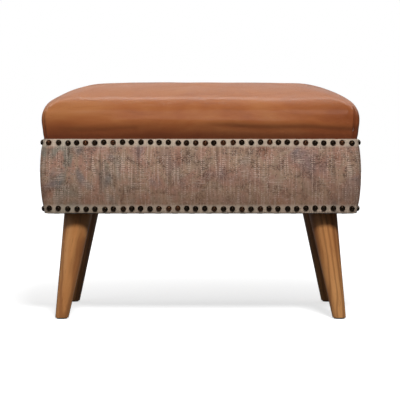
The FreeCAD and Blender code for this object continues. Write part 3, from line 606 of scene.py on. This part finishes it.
folds = {
    # pleats: corner in X and Y, turn round it in degrees from the long side, depth, top over the seam, lean
    "corners": [
        (1, -1, 12, 0.0046, 0.076, 0.10),
        (1, -1, 58, 0.0016, 0.058, -0.06),
        (-1, -1, 33, 0.0026, 0.070, 0.12),
        (-1, -1, 66, 0.0012, 0.050, -0.05),
        (1, 1, 60, 0.0030, 0.072, 0.08),
        (-1, 1, 50, 0.0032, 0.070, 0.09),
    ],
    "foldWidth": 0.0056, "foldLow": -0.02, "foldFade": 0.030,
    # long soft creases: side, start and end along it, height over the seam at each, depth, width
    "creases": [
        ("front", -0.02, 0.292, 0.0235, 0.0165, 0.0016, 0.0045),
        ("front", -0.285, -0.12, 0.013, 0.017, 0.0008, 0.005),
        ("back", -0.25, 0.10, 0.018, 0.022, 0.0012, 0.0045),
        ("left", -0.15, 0.16, 0.020, 0.016, 0.0011, 0.0045),
        ("right", -0.17, 0.12, 0.018, 0.022, 0.0013, 0.0045),
    ],
    "undulation": 0.0011, "undulationSize": 7.5, "ripple": 0.0006, "pucker": 0.00055, "puckerPitch": 0.0167,
    "wear": 320, "pleatShade": 190,  # painted shade in the creases and pleat folds: darkness for each metre of depth
}


def stretchMove(place, normal):
    # the slow waves of stretched leather, and small puckers along the nailed edge
    x, y, z = place
    wide = noise.noise(Vector((x, y, z * 1.6)) * folds["undulationSize"])
    small = noise.noise(Vector((x * 19, y * 19, z * 34)) + Vector((3, 1, 7)))
    fade = bellCurve(z - seamZ - 0.003, 0.010) * (1 - smoothStep(0.55, 0.85, abs(normal.z)))
    wave = math.cos(2 * math.pi * (x if abs(normal.y) > abs(normal.x) else y) / folds["puckerPitch"])
    pucker = wave * fade * (0.6 + 0.4 * noise.noise(Vector((x, y, 0)) * 30))
    return folds["undulation"] * wide + folds["ripple"] * small + folds["pucker"] * pucker


def creaseMove(place, normal, crease):
    # how far one crease moves the leather along its normal, and how much painted shade darkens its valley
    side, start, end, startRise, endRise, depth, width = crease
    along = place.x if side in ("front", "back") else place.y
    facing = {"front": -normal.y, "back": normal.y, "left": -normal.x, "right": normal.x}[side]
    if facing < 0.3:
        return 0.0, 0.0
    share = (along - start) / (end - start)
    fade = smoothStep(-0.02, 0.30, share) * (1 - smoothStep(0.97, 1.06, share))
    middle = startRise + (endRise - startRise) * share + 0.0012 * math.sin(along * 41)
    gap = place.z - seamZ - middle
    dip = bellCurve(gap, width) - 0.55 * bellCurve(gap - 2.1 * width, 1.5 * width)
    worn = folds["wear"] * depth * fade * bellCurve(gap, 1.3 * width)
    return -depth * fade * dip * smoothStep(0.3, 0.8, facing), worn


def pleatMove(place, fold):
    # the same for a lapped pleat of a corner: one lip stands proud and drops sharply into the fold
    signX, signY, turn, depth, high, lean = fold
    overX = place.x * signX - (halfX - seat["cornerRadius"])
    overY = place.y * signY - (halfY - seat["cornerRadius"])
    if overX < -0.01 or overY < -0.01:
        return 0.0, 0.0
    rise = place.z - seamZ
    wanted = math.radians(turn) + lean * (rise - 0.03) / 0.03
    past = (math.atan2(overX, overY) - wanted) * seat["cornerRadius"] / folds["foldWidth"]
    fade = smoothStep(folds["foldLow"], 0.012, rise) * (1 - smoothStep(high - folds["foldFade"], high, rise))
    lip = smoothStep(-3.2, -0.25, past) * (1 - smoothStep(-0.25, 0.35, past))
    valley = bellCurve(past - 0.35, 0.45)
    # painted shade on the far side of the fold
    shade = smoothStep(-0.3, 0.4, past) * (1 - smoothStep(0.6, 2.4, past))
    return depth * fade * (0.55 * lip - 0.9 * valley), folds["pleatShade"] * depth * fade * shade


def foldDepth(place, normal):
    moves = [creaseMove(place, normal, crease) for crease in folds["creases"]]
    moves += [pleatMove(place, fold) for fold in folds["corners"]]
    # the summed darkness is painted shade in the folds
    worn = min(sum(worn for move, worn in moves), 1)
    return stretchMove(place, normal) + sum(move for move, worn in moves), worn


def sculptSeat(piece):
    mesh = piece.data
    moves = [foldDepth(vertex.co, vertex.normal) for vertex in mesh.vertices]
    spots = [vertex.co + vertex.normal * move for vertex, (move, worn) in zip(mesh.vertices, moves)]
    # the worn attribute carries the painted shade of the creases and pleats
    layer = mesh.attributes.new("worn", "FLOAT", "POINT")
    layer.data.foreach_set("value", [worn for move, worn in moves])
    for vertex, spot in zip(mesh.vertices, spots):
        if spot.z >= seamZ - 0.001:
            vertex.co = spot
    mesh.update()


def makeSeat():
    bm, row, seamRow = seatShell()
    bm.verts.index_update()
    held = [vertex.index for vertex in bm.verts if vertex[row] >= seamRow]
    for vertex in bm.verts:
        if vertex[row] < seamRow:
            inside = seat["startInside"] * smoothStep(seamZ, seamZ + 0.02, vertex.co.z)
            vertex.co -= vertex.normal * inside
    piece = addPiece("leather_seat", bm, materials["tan_leather"], ["seat_cover"])
    simulateSwelling(piece, held, seat)
    addSubdivision(piece, 1)
    applyModifiers(piece)
    sculptSeat(piece)
    addThickness(piece, seat["leatherThick"])
    applyModifiers(piece)
    piece.data.shade_smooth()
    return piece


leatherSeat = makeSeat()
print("leather seat:", len(leatherSeat.data.polygons), "faces")


# the woven band: one length of cloth round the frame, turned in below

band = {
    "thick": 0.0020, "belly": bandHigh[0] - railX, "lowSwell": 0.0023, "topSwell": 0.0044, "flange": 0.007,
    "cornerRadius": 0.008, "step": 0.0040, "cornerSteps": 8, "rows": 32, "innerRows": 5, "fold": 0.0012,
    "nailDent": 0.0011, "nailDentSize": 0.0075, "ripple": 0.0009,
}
bandTall = bandHigh[2] - bandLow[2]


def bandArc():
    # radius of the bowed face and the height of its widest line, so that it meets both edges
    deepLow, deepTop = band["belly"] - band["lowSwell"], band["belly"] - band["topSwell"]
    small, large = 0.01, 20.0
    while large - small > 1e-9:
        middle = (small + large) / 2
        reach = math.sqrt(2 * middle * deepLow - deepLow**2) + math.sqrt(2 * middle * deepTop - deepTop**2)
        small, large = (middle, large) if reach < bandTall else (small, middle)
    return small, math.sqrt(2 * small * deepLow - deepLow**2)


bandRadius, bandWidest = bandArc()


def bandSwell(height, inset=0.0):
    return band["belly"] - bandRadius + math.sqrt((bandRadius - inset) ** 2 - (height - bandWidest) ** 2)


nailRows = {"topDrop": 0.0065, "lowRise": 0.009, "longCount": 34, "shortCount": 22, "endInset": 0.0085}


def nailPlaces():
    # place and way it faces of each nail along each side, a little uneven as driven by hand
    places = {}
    random.seed(7)
    for label, across, side in sides:
        face, far = (railY, railX) if across else (railX, railY)
        count = nailRows["longCount"] if across else nailRows["shortCount"]
        half = far - nailRows["endInset"]
        places[label] = []
        for line, height in enumerate((nailRows["lowRise"], bandTall - nailRows["topDrop"])):
            phase = random.uniform(0, 6)
            for number in range(count):
                along = -half + 2 * half * number / (count - 1) + random.uniform(-0.0011, 0.0011)
                shift = 0.0007 * math.sin(number * 0.42 + phase) + random.uniform(-0.0006, 0.0006)
                level = height + (min(shift, 0.0008) if line else shift)
                out = face + bandSwell(level)
                tip = (level - bandWidest) / bandRadius
                flat = math.sqrt(1 - tip**2)
                spot = (along, side * out) if across else (side * out, along)
                way = (0, side * flat, tip) if across else (side * flat, 0, tip)
                places[label].append((Vector((*spot, bandLow[2] + level)), Vector(way)))
    return places


nailSpots = nailPlaces()


def bandProfile():
    # distance out from the rails and height, first the outer face from the flange up, then back down inside
    low, fold = bandLow[2], band["fold"]
    outer = [(-band["flange"], low), (-band["flange"] / 2, low)]
    outer += [(band["lowSwell"] - fold * 1.6, low + 0.0001), (band["lowSwell"] - 0.0004, low + 0.0006)]
    for k in range(band["rows"] + 1):
        height = fold + (bandTall - 2 * fold) * k / band["rows"]
        outer.append((bandSwell(height), low + height))
    top = band["topSwell"]
    outer += [(top - 0.0002, bandHigh[2] - 0.0004), (top - 0.0007, bandHigh[2])]
    inner = [(top - band["thick"] + 0.0002, bandHigh[2])]
    for k in range(band["innerRows"], -1, -1):
        height = band["thick"] + (bandTall - 2 * band["thick"]) * k / band["innerRows"]
        inner.append((bandSwell(height, band["thick"]), low + height))
    inner += [(-band["flange"], low + band["thick"])]
    return outer, inner


def drawOutRows(bm, points, count):
    # a ring drawn out row by row; gives each vertex its place round the frame and its row
    start = [bm.verts.new((point.x, point.y, 0)) for point, way in points]
    around = {vertex: index for index, vertex in enumerate(start)}
    line = {vertex: 0 for vertex in start}
    first = edges = [bm.edges.new(pair) for pair in zip(start, start[1:] + start[:1])]
    for number in range(1, count):
        made = bmesh.ops.extrude_edge_only(bm, edges=edges)["geom"]
        fresh = [item for item in made if isinstance(item, bmesh.types.BMVert)]
        edges = [item for item in made if isinstance(item, bmesh.types.BMEdge)
                 and not any(vertex in line for vertex in item.verts)]
        for vertex in fresh:
            parent = next(e.other_vert(vertex) for e in vertex.link_edges if e.other_vert(vertex) in line)
            around[vertex] = around[parent]
        line.update((vertex, number) for vertex in fresh)
    bmesh.ops.bridge_loops(bm, edges=first + edges)
    return around, line


def measureCloth(bm, uv, around, line, points, rows):
    # the cloth's own measure in metres: round the frame, and up from its lower edge
    widest = [point + way * band["belly"] for point, way in points]
    distances = [0.0]
    for first, second in zip(widest, widest[1:] + widest[:1]):
        distances.append(distances[-1] + (second - first).length)
    reach = [0.0]
    for (a, b), (c, d) in zip(rows, rows[1:]):
        reach.append(reach[-1] + math.hypot(c - a, d - b))
    lowMark = reach[3]
    for face in bm.faces:
        wraps = {around[v] for v in face.verts} == {0, len(points) - 1}
        closes = {line[v] for v in face.verts} == {0, len(rows) - 1}
        for loop in face.loops:
            index, level = around[loop.vert], line[loop.vert]
            across = distances[-1] if wraps and index == 0 else distances[index]
            up = (reach[-1] + band["thick"]) if closes and level == 0 else reach[level]
            loop[uv].uv = (across, up - lowMark)


def dentBand(bm, line):
    # the nails pull the cloth in, and it ripples a little between them
    spots = [spot for places in nailSpots.values() for spot, way in places]
    nearest = kdtree.KDTree(len(spots))
    for index, spot in enumerate(spots):
        nearest.insert(spot, index)
    nearest.balance()
    for vertex in bm.verts:
        if 3 <= line[vertex] <= band["rows"] + 3:
            x, y, z = vertex.co
            dent = bellCurve(nearest.find(vertex.co)[2], band["nailDentSize"])
            middle = smoothStep(0, 0.03, z - bandLow[2]) * smoothStep(0, 0.03, bandHigh[2] - z)
            ripple = noise.noise(Vector((x * 26, y * 26, z * 7)))
            ripple += 0.5 * noise.noise(Vector((x * 60, y * 60, z * 14)))
            out = band["ripple"] * ripple * (0.35 + 0.65 * middle) - band["nailDent"] * dent
            vertex.co += vertex.normal * out


def makeBand():
    outer, inner = bandProfile()
    rows = outer + inner
    points = roundedRing(railX, railY, band["cornerRadius"], band["step"], band["cornerSteps"])
    bm = bmesh.new()
    uv = bm.loops.layers.uv.new("cloth")
    around, line = drawOutRows(bm, points, len(rows))
    for vertex in bm.verts:
        point, way = points[around[vertex]]
        out, height = rows[line[vertex]]
        spot = point + way * out
        vertex.co = (spot.x, spot.y, height)
    measureCloth(bm, uv, around, line, points, rows)
    bmesh.ops.recalc_face_normals(bm, faces=bm.faces)
    bm.normal_update()
    dentBand(bm, line)
    piece = addPiece("woven_band", bm, materials["faded_weave"], ["side_band"])
    return piece


wovenBand = makeBand()
print("woven band:", len(wovenBand.data.polygons), "faces")


# nails

nail = {"radius": 0.0055, "dome": 0.0041, "shank": 0.011, "shankRadius": 0.0012, "sides": 12,
        "lean": 0.07, "sunk": 0.0004}


def nailTemplate():
    bm = bmesh.new()
    bmesh.ops.create_uvsphere(bm, u_segments=nail["sides"], v_segments=8, radius=1)
    bmesh.ops.bisect_plane(bm, geom=bm.verts[:] + bm.edges[:] + bm.faces[:], plane_co=(0, 0, 0),
                           plane_no=(0, 0, -1), clear_outer=True)
    rim = [edge for edge in bm.edges if edge.is_boundary]
    bmesh.ops.contextual_create(bm, geom=rim)
    bmesh.ops.scale(bm, vec=(nail["radius"], nail["radius"], nail["dome"]), verts=bm.verts)
    shank = bmesh.ops.create_cone(bm, cap_ends=True, segments=5, radius1=0.0002, radius2=nail["shankRadius"],
                                  depth=nail["shank"])["verts"]
    bmesh.ops.translate(bm, vec=(0, 0, -nail["shank"] / 2 - 0.0001), verts=shank)
    bmesh.ops.recalc_face_normals(bm, faces=bm.faces)
    mesh = bpy.data.meshes.new("nailTemplate")
    bm.to_mesh(mesh)
    bm.free()
    return mesh


def makeNails():
    template = nailTemplate()
    size = len(template.vertices)
    for label, places in nailSpots.items():
        bm = bmesh.new()
        tint = bm.verts.layers.float.new("tint")
        for spot, way in places:
            bm.from_mesh(template)
            bm.verts.ensure_lookup_table()
            fresh = bm.verts[-size:]
            lean = Vector([random.uniform(-1, 1) for axis in range(3)]) * nail["lean"]
            turn = (way + lean).to_track_quat("Z", "Y") @ Quaternion((0, 0, 1), random.uniform(0, 0.6))
            place = Matrix.Translation(spot - way * nail["sunk"]) @ turn.to_matrix().to_4x4()
            bmesh.ops.transform(bm, matrix=place, verts=fresh)
            shade = random.random()
            for vertex in fresh:
                vertex[tint] = shade
        addPiece("nail_heads_" + label, bm, materials["antique_bronze"], ["nails_" + label])
    bpy.data.meshes.remove(template)


makeNails()
print("nails:", sum(len(places) for places in nailSpots.values()))


# legs

leg = {
    "topX": 0.232, "topY": 0.132, "splay": 8.6, "topRadius": 0.0265, "footRadius": 0.0125,
    "sides": 56, "lengthSteps": 14, "edge": 0.0008,
}


def makeLeg(label, signX, signY, number):
    lean = math.tan(math.radians(leg["splay"]))
    topLevel, footLevel = legsHigh[2], legsLow[2]
    axis = Vector((signX * lean, signY * lean, -1)).normalized()
    length = (topLevel - footLevel) * math.sqrt(1 + 2 * lean**2)
    spare = leg["topRadius"]  # the cone runs past both ends, and is cut level
    taper = (leg["topRadius"] - leg["footRadius"]) / length
    bm = bmesh.new()
    profile = []
    for k in range(leg["lengthSteps"] + 1):
        reach = -spare + (length + 2 * spare) * k / leg["lengthSteps"]
        profile.append(bm.verts.new((leg["topRadius"] - taper * reach, 0, reach)))
    lines = [bm.edges.new(pair) for pair in zip(profile, profile[1:])]
    bmesh.ops.spin(bm, geom=profile + lines, cent=(0, 0, 0), axis=(0, 0, 1), angle=2 * math.pi,
                   steps=leg["sides"], use_merge=True)
    turn = axis.to_track_quat("Z", "Y").to_matrix().to_4x4()
    place = Matrix.Translation((signX * leg["topX"], signY * leg["topY"], topLevel)) @ turn
    bmesh.ops.transform(bm, matrix=place, verts=bm.verts)
    for height, way in ((topLevel, 1), (footLevel, -1)):
        cutPlane = bmesh.ops.bisect_plane(bm, geom=bm.verts[:] + bm.edges[:] + bm.faces[:], dist=1e-6,
                                          plane_co=(0, 0, height), plane_no=(0, 0, way), clear_outer=True)
        rim = [item for item in cutPlane["geom_cut"] if isinstance(item, bmesh.types.BMEdge)]
        bmesh.ops.contextual_create(bm, geom=rim)
    turnOutwards(bm)
    rims = [edge for edge in bm.edges if any(len(face.verts) > 8 for face in edge.link_faces)]
    softBevel(bm, rims, leg["edge"], 3)
    grain = bm.verts.layers.float_vector.new("grain")
    inverse = place.inverted()
    # each leg is cut from another place of the board
    for vertex in bm.verts:
        vertex[grain] = inverse @ vertex.co + number * Vector((0.19, 0.07, 0.41))
    addPiece("leg_" + label, bm, materials["oiled_oak"], ["legs"])


for number, (label, signX, signY) in enumerate((("front_left", -1, -1), ("front_right", 1, -1),
                                                ("back_left", -1, 1), ("back_right", 1, 1))):
    makeLeg(label, signX, signY, number)
print("legs made")


# padding under the leather and behind the band

padding = {
    "waddingUnder": 0.0072, "waddingLump": 0.0006, "waddingThick": 0.0035, "overSeam": 0.0004,
    "foamEdge": 0.004, "foamLump": 0.0008, "foamChamfer": 0.032,
    "padEdge": 0.0028, "padLump": 0.0003, "padGap": 0.0012, "cuts": 14,
}


def makeWadding():
    bm = seatShell()[0]
    tail = [face for face in bm.faces if face.calc_center_median().z < seamZ]
    bmesh.ops.delete(bm, geom=tail, context="FACES")
    bmesh.ops.delete(bm, geom=[v for v in bm.verts if not v.link_faces], context="VERTS")
    bm.normal_update()
    for vertex in bm.verts:
        lumps = noise.noise(vertex.co * 45) * padding["waddingLump"]
        vertex.co -= vertex.normal * (padding["waddingUnder"] + lumps)
        vertex.co.z = max(vertex.co.z, seamZ + padding["overSeam"])
    piece = addPiece("wadding_layer", bm, materials["wadding"], ["seat_wadding"])
    addThickness(piece, padding["waddingThick"])
    applyModifiers(piece)


def makeBlock(name, node, edge, lump, material, shape):
    # a soft block: a cube cut fine, its edges rounded, then swollen and made uneven
    bm = bmesh.new()
    bmesh.ops.create_cube(bm, size=1)
    low, high = (Vector(corner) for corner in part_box(node))
    bmesh.ops.scale(bm, vec=high - low, verts=bm.verts)
    bmesh.ops.translate(bm, vec=(low + high) / 2, verts=bm.verts)
    softBevel(bm, bm.edges[:], edge, 4)
    long = [e for e in bm.edges if e.calc_length() > max(high - low) * 0.2]
    bmesh.ops.subdivide_edges(bm, edges=long, cuts=padding["cuts"], use_grid_fill=True)
    bm.normal_update()
    for vertex in bm.verts:
        shape(vertex)
        vertex.co += vertex.normal * lump * (noise.noise(vertex.co * 30) - 0.6)
    turnOutwards(bm)
    piece = addPiece(name, bm, materials[material], [node])


def makePadding():
    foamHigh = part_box("seat_foam")[1]

    def chamfered(vertex):
        # the slab's top edges are cut away at 45 degrees
        over = vertex.co.z - (foamHigh[2] - padding["foamChamfer"])
        for axis in (0, 1):
            limit = foamHigh[axis] - max(over, 0)
            vertex.co[axis] = min(max(vertex.co[axis], -limit), limit)

    makeBlock("foam_slab", "seat_foam", padding["foamEdge"], padding["foamLump"], "foam", chamfered)
    for label, across, side in sides:
        axis = 1 if across else 0
        face = railY if across else railX

        def bowed(vertex, axis=axis, side=side, face=face):
            # follows the inside of the band
            out = side * vertex.co[axis] - face
            if out > 0.002:
                height = vertex.co.z - bandLow[2]
                room = bandSwell(height, band["thick"]) - padding["padGap"]
                vertex.co[axis] = side * (face + min(out, room))

        makeBlock(label + "_padding", label + "_pad", padding["padEdge"], padding["padLump"], "wadding",
                  bowed)


makeWadding()
makePadding()
print("padding made")


# dust cover with a folded edge and staples

dustCover = {"sag": 0.0016, "thick": 0.0005, "hem": 0.009}
staple = {"pitch": 0.034, "size": (0.010, 0.0011, 0.0005), "fromEdge": 0.005, "fromCorner": 0.012}


def makeDustCover():
    bm = bmesh.new()
    reachX, reachY = sheetHigh[0], sheetHigh[1]
    bmesh.ops.create_grid(bm, x_segments=96, y_segments=64, size=1)
    for vertex in bm.verts:
        x, y = vertex.co.x * reachX, vertex.co.y * reachY
        edge = min(reachX - abs(x), reachY - abs(y))
        nearLeg = bellCurve(math.hypot(abs(x) - leg["topX"], abs(y) - leg["topY"]), 0.045)
        loose = smoothStep(0.012, 0.09, edge) * (1 - nearLeg)
        sag = dustCover["sag"] * loose + 0.0005 * loose * noise.noise(Vector((x * 22, y * 22, 0)))
        step = 0.0004 if edge < dustCover["hem"] else 0.0
        vertex.co = (x, y, sheetHigh[2] - 0.0002 - sag - step)
    bm.normal_update()
    if bm.faces[:][0].normal.z > 0:
        bmesh.ops.reverse_faces(bm, faces=bm.faces)
    piece = addPiece("cambric_dust_cover", bm, materials["black_cambric"], ["dust_cover"])
    addThickness(piece, dustCover["thick"])
    applyModifiers(piece)


def makeStaples():
    bm = bmesh.new()
    reachX, reachY = sheetHigh[0] - staple["fromEdge"], sheetHigh[1] - staple["fromEdge"]
    places = []
    for reach, far, across in ((reachX, reachY, True), (reachY, reachX, False)):
        count = round(2 * reach / staple["pitch"])
        for side in (-1, 1):
            for k in range(count + 1):
                along = (reach - staple["fromCorner"]) * (2 * k / count - 1)
                spot = (along, side * far) if across else (side * far, along)
                places.append((spot, across))
    random.seed(11)
    for (x, y), across in places:
        made = bmesh.ops.create_cube(bm, size=1)["verts"]
        bmesh.ops.scale(bm, vec=staple["size"], verts=made)
        turn = random.uniform(-0.18, 0.18) + (0 if across else math.pi / 2)
        bmesh.ops.rotate(bm, cent=(0, 0, 0), matrix=Matrix.Rotation(turn, 3, "Z"), verts=made)
        bmesh.ops.translate(bm, vec=(x, y, sheetLow[2] - 0.0001), verts=made)
    softBevel(bm, bm.edges[:], 0.00012, 1)
    addPiece("cover_staples", bm, materials["zinc_steel"])


makeDustCover()
makeStaples()
print("underside made")


# every CAD node that stays gets its finish

for name, piece in frame["nodes"].items():
    piece.data.materials.clear()
    piece.data.materials.append(materials[slots[name]])


# studio

studio = {
    "floor": (0.86, 0.86, 0.86), "floorBounce": (0.10, 0.095, 0.09), "floorGlow": 0.66,
    "ambientLow": 0.02, "ambientHigh": 0.20, "dimSide": 0.03, "stripAt": 0.31, "stripPower": 17.0,
    "glintPower": 5.0, "floorGloss": 0.12,
    "overhead": {"place": (0.0, 0.25, 2.3), "size": (2.6, 2.2), "power": 7, "aim": (0, 0, 0.3)},
    "key": {"place": (0.30, -2.6, 2.15), "size": (0.55, 0.55), "power": 66, "aim": (0, 0, 0.25)},
    "fill": {"place": (-2.4, -2.0, 1.3), "size": (1.6, 1.6), "power": 9, "aim": (0, 0, 0.25)},
}


def raysOf(tree):
    # 1 for the rays that see the backdrop itself, and 1 for those that a shiny surface mirrors
    path = addNode(tree, "LightPath")
    seen = maths(tree, "ADD", path.outputs["Is Camera Ray"], path.outputs["Is Transmission Ray"], clamp=True)
    return seen, path.outputs["Is Glossy Ray"]


def makeWorld():
    world = bpy.data.worlds.new("studio")
    scene.world = world
    world.use_nodes = True
    tree = world.node_tree
    background = tree.nodes["Background"]
    background.inputs["Color"].default_value = (1, 1, 1, 1)
    seen, glossy = raysOf(tree)
    way = addNode(tree, "TexCoord").outputs["Generated"]
    parts = addNode(tree, "SeparateXYZ", {"Vector": way})
    behind = span(tree, parts.outputs["Y"], 0.20, 0.32, studio["dimSide"], 1.1)
    behind = maths(tree, "MULTIPLY", behind, span(tree, parts.outputs["Z"], 0.10, 0.45))
    left = span(tree, parts.outputs["X"], -0.55, -0.90, 0.0, 0.30)
    strip = maths(tree, "SUBTRACT", parts.outputs["Y"], studio["stripAt"])
    strip = span(tree, maths(tree, "ABSOLUTE", strip), 0.0, 0.07, studio["stripPower"], 0.0)
    reach = span(tree, parts.outputs["Z"], 0.4, 0.7)
    strip = maths(tree, "MULTIPLY", strip, reach)
    mirrored = maths(tree, "ADD", maths(tree, "MAXIMUM", behind, left), strip)
    # the lamps themselves aren't mirrored: a soft glint stands where the key lamp is
    towardsKey = tuple((Vector(studio["key"]["place"]) - Vector(studio["key"]["aim"])).normalized())
    glint = addNode(tree, "VectorMath", {0: way, 1: towardsKey}, operation="DOT_PRODUCT").outputs["Value"]
    mirrored = maths(tree, "MAXIMUM", mirrored, span(tree, glint, 0.970, 0.9925, 0.0, studio["glintPower"]))
    mirrored = maths(tree, "MULTIPLY", glossy, mirrored)
    ambient = span(tree, parts.outputs["Z"], -0.05, 0.8, studio["ambientLow"], studio["ambientHigh"])
    ambient = maths(tree, "MULTIPLY", ambient, maths(tree, "SUBTRACT", 1.0, glossy))
    strength = maths(tree, "MAXIMUM", ambient, mirrored)
    strength = maths(tree, "MAXIMUM", strength, seen)
    tree.links.new(strength, background.inputs["Strength"])


def makeFloor():
    bm = bmesh.new()
    bmesh.ops.create_grid(bm, x_segments=2, y_segments=2, size=9)
    material = bpy.data.materials.new("paleFloor")
    material.use_nodes = True
    tree = material.node_tree
    shader = tree.nodes["Principled BSDF"]
    shader.inputs["Roughness"].default_value = 0.9
    shader.inputs["Specular IOR Level"].default_value = 0.0
    shader.inputs["Emission Color"].default_value = (1, 1, 1, 1)
    seen, glossy = raysOf(tree)
    floorPlace = addNode(tree, "TexCoord").outputs["Object"]
    away = addNode(tree, "VectorMath", {0: floorPlace}, operation="LENGTH").outputs["Value"]
    glow = span(tree, away, 0.35, 1.3, studio["floorGlow"], 1.0)
    tree.links.new(mixed(tree, seen, studio["floorBounce"], studio["floor"]), shader.inputs["Base Color"])
    glow = maths(tree, "MULTIPLY", seen, glow)
    glow = maths(tree, "MULTIPLY_ADD", glossy, studio["floorGloss"], glow)
    tree.links.new(glow, shader.inputs["Emission Strength"])
    mesh = bpy.data.meshes.new("floor")
    bm.to_mesh(mesh)
    bm.free()
    mesh.materials.append(material)
    floor = bpy.data.objects.new("floor", mesh)
    scene.collection.objects.link(floor)


def makeLamps():
    for name in ("overhead", "key", "fill"):
        settings = studio[name]
        lamp = bpy.data.lights.new(name, "AREA")
        lamp.shape = "RECTANGLE"
        lamp.size, lamp.size_y = settings["size"]
        lamp.energy = settings["power"]
        holder = bpy.data.objects.new(name, lamp)
        holder.location = settings["place"]
        holder.visible_glossy = False
        aim = Vector(settings["aim"]) - Vector(settings["place"])
        holder.rotation_euler = aim.to_track_quat("-Z", "Y").to_euler()
        scene.collection.objects.link(holder)


makeWorld()
makeFloor()
makeLamps()


# camera

view = {
    "distance": 3.60, "height": 0.3798, "sideways": -0.0011, "pitch": 2.598, "focalPixels": 1829,
    "frame": 400,
}


def makeCamera():
    data = bpy.data.cameras.new("camera")
    data.sensor_width = 36
    data.lens = view["focalPixels"] * data.sensor_width / view["frame"]
    camera = bpy.data.objects.new("camera", data)
    camera.location = (view["sideways"], -view["distance"], view["height"])
    camera.rotation_euler = (math.radians(90 - view["pitch"]), 0, 0)
    scene.collection.objects.link(camera)
    scene.camera = camera


makeCamera()
scene.view_settings.view_transform = "Standard"
print("studio and camera set")

bpy.context.view_layer.update()
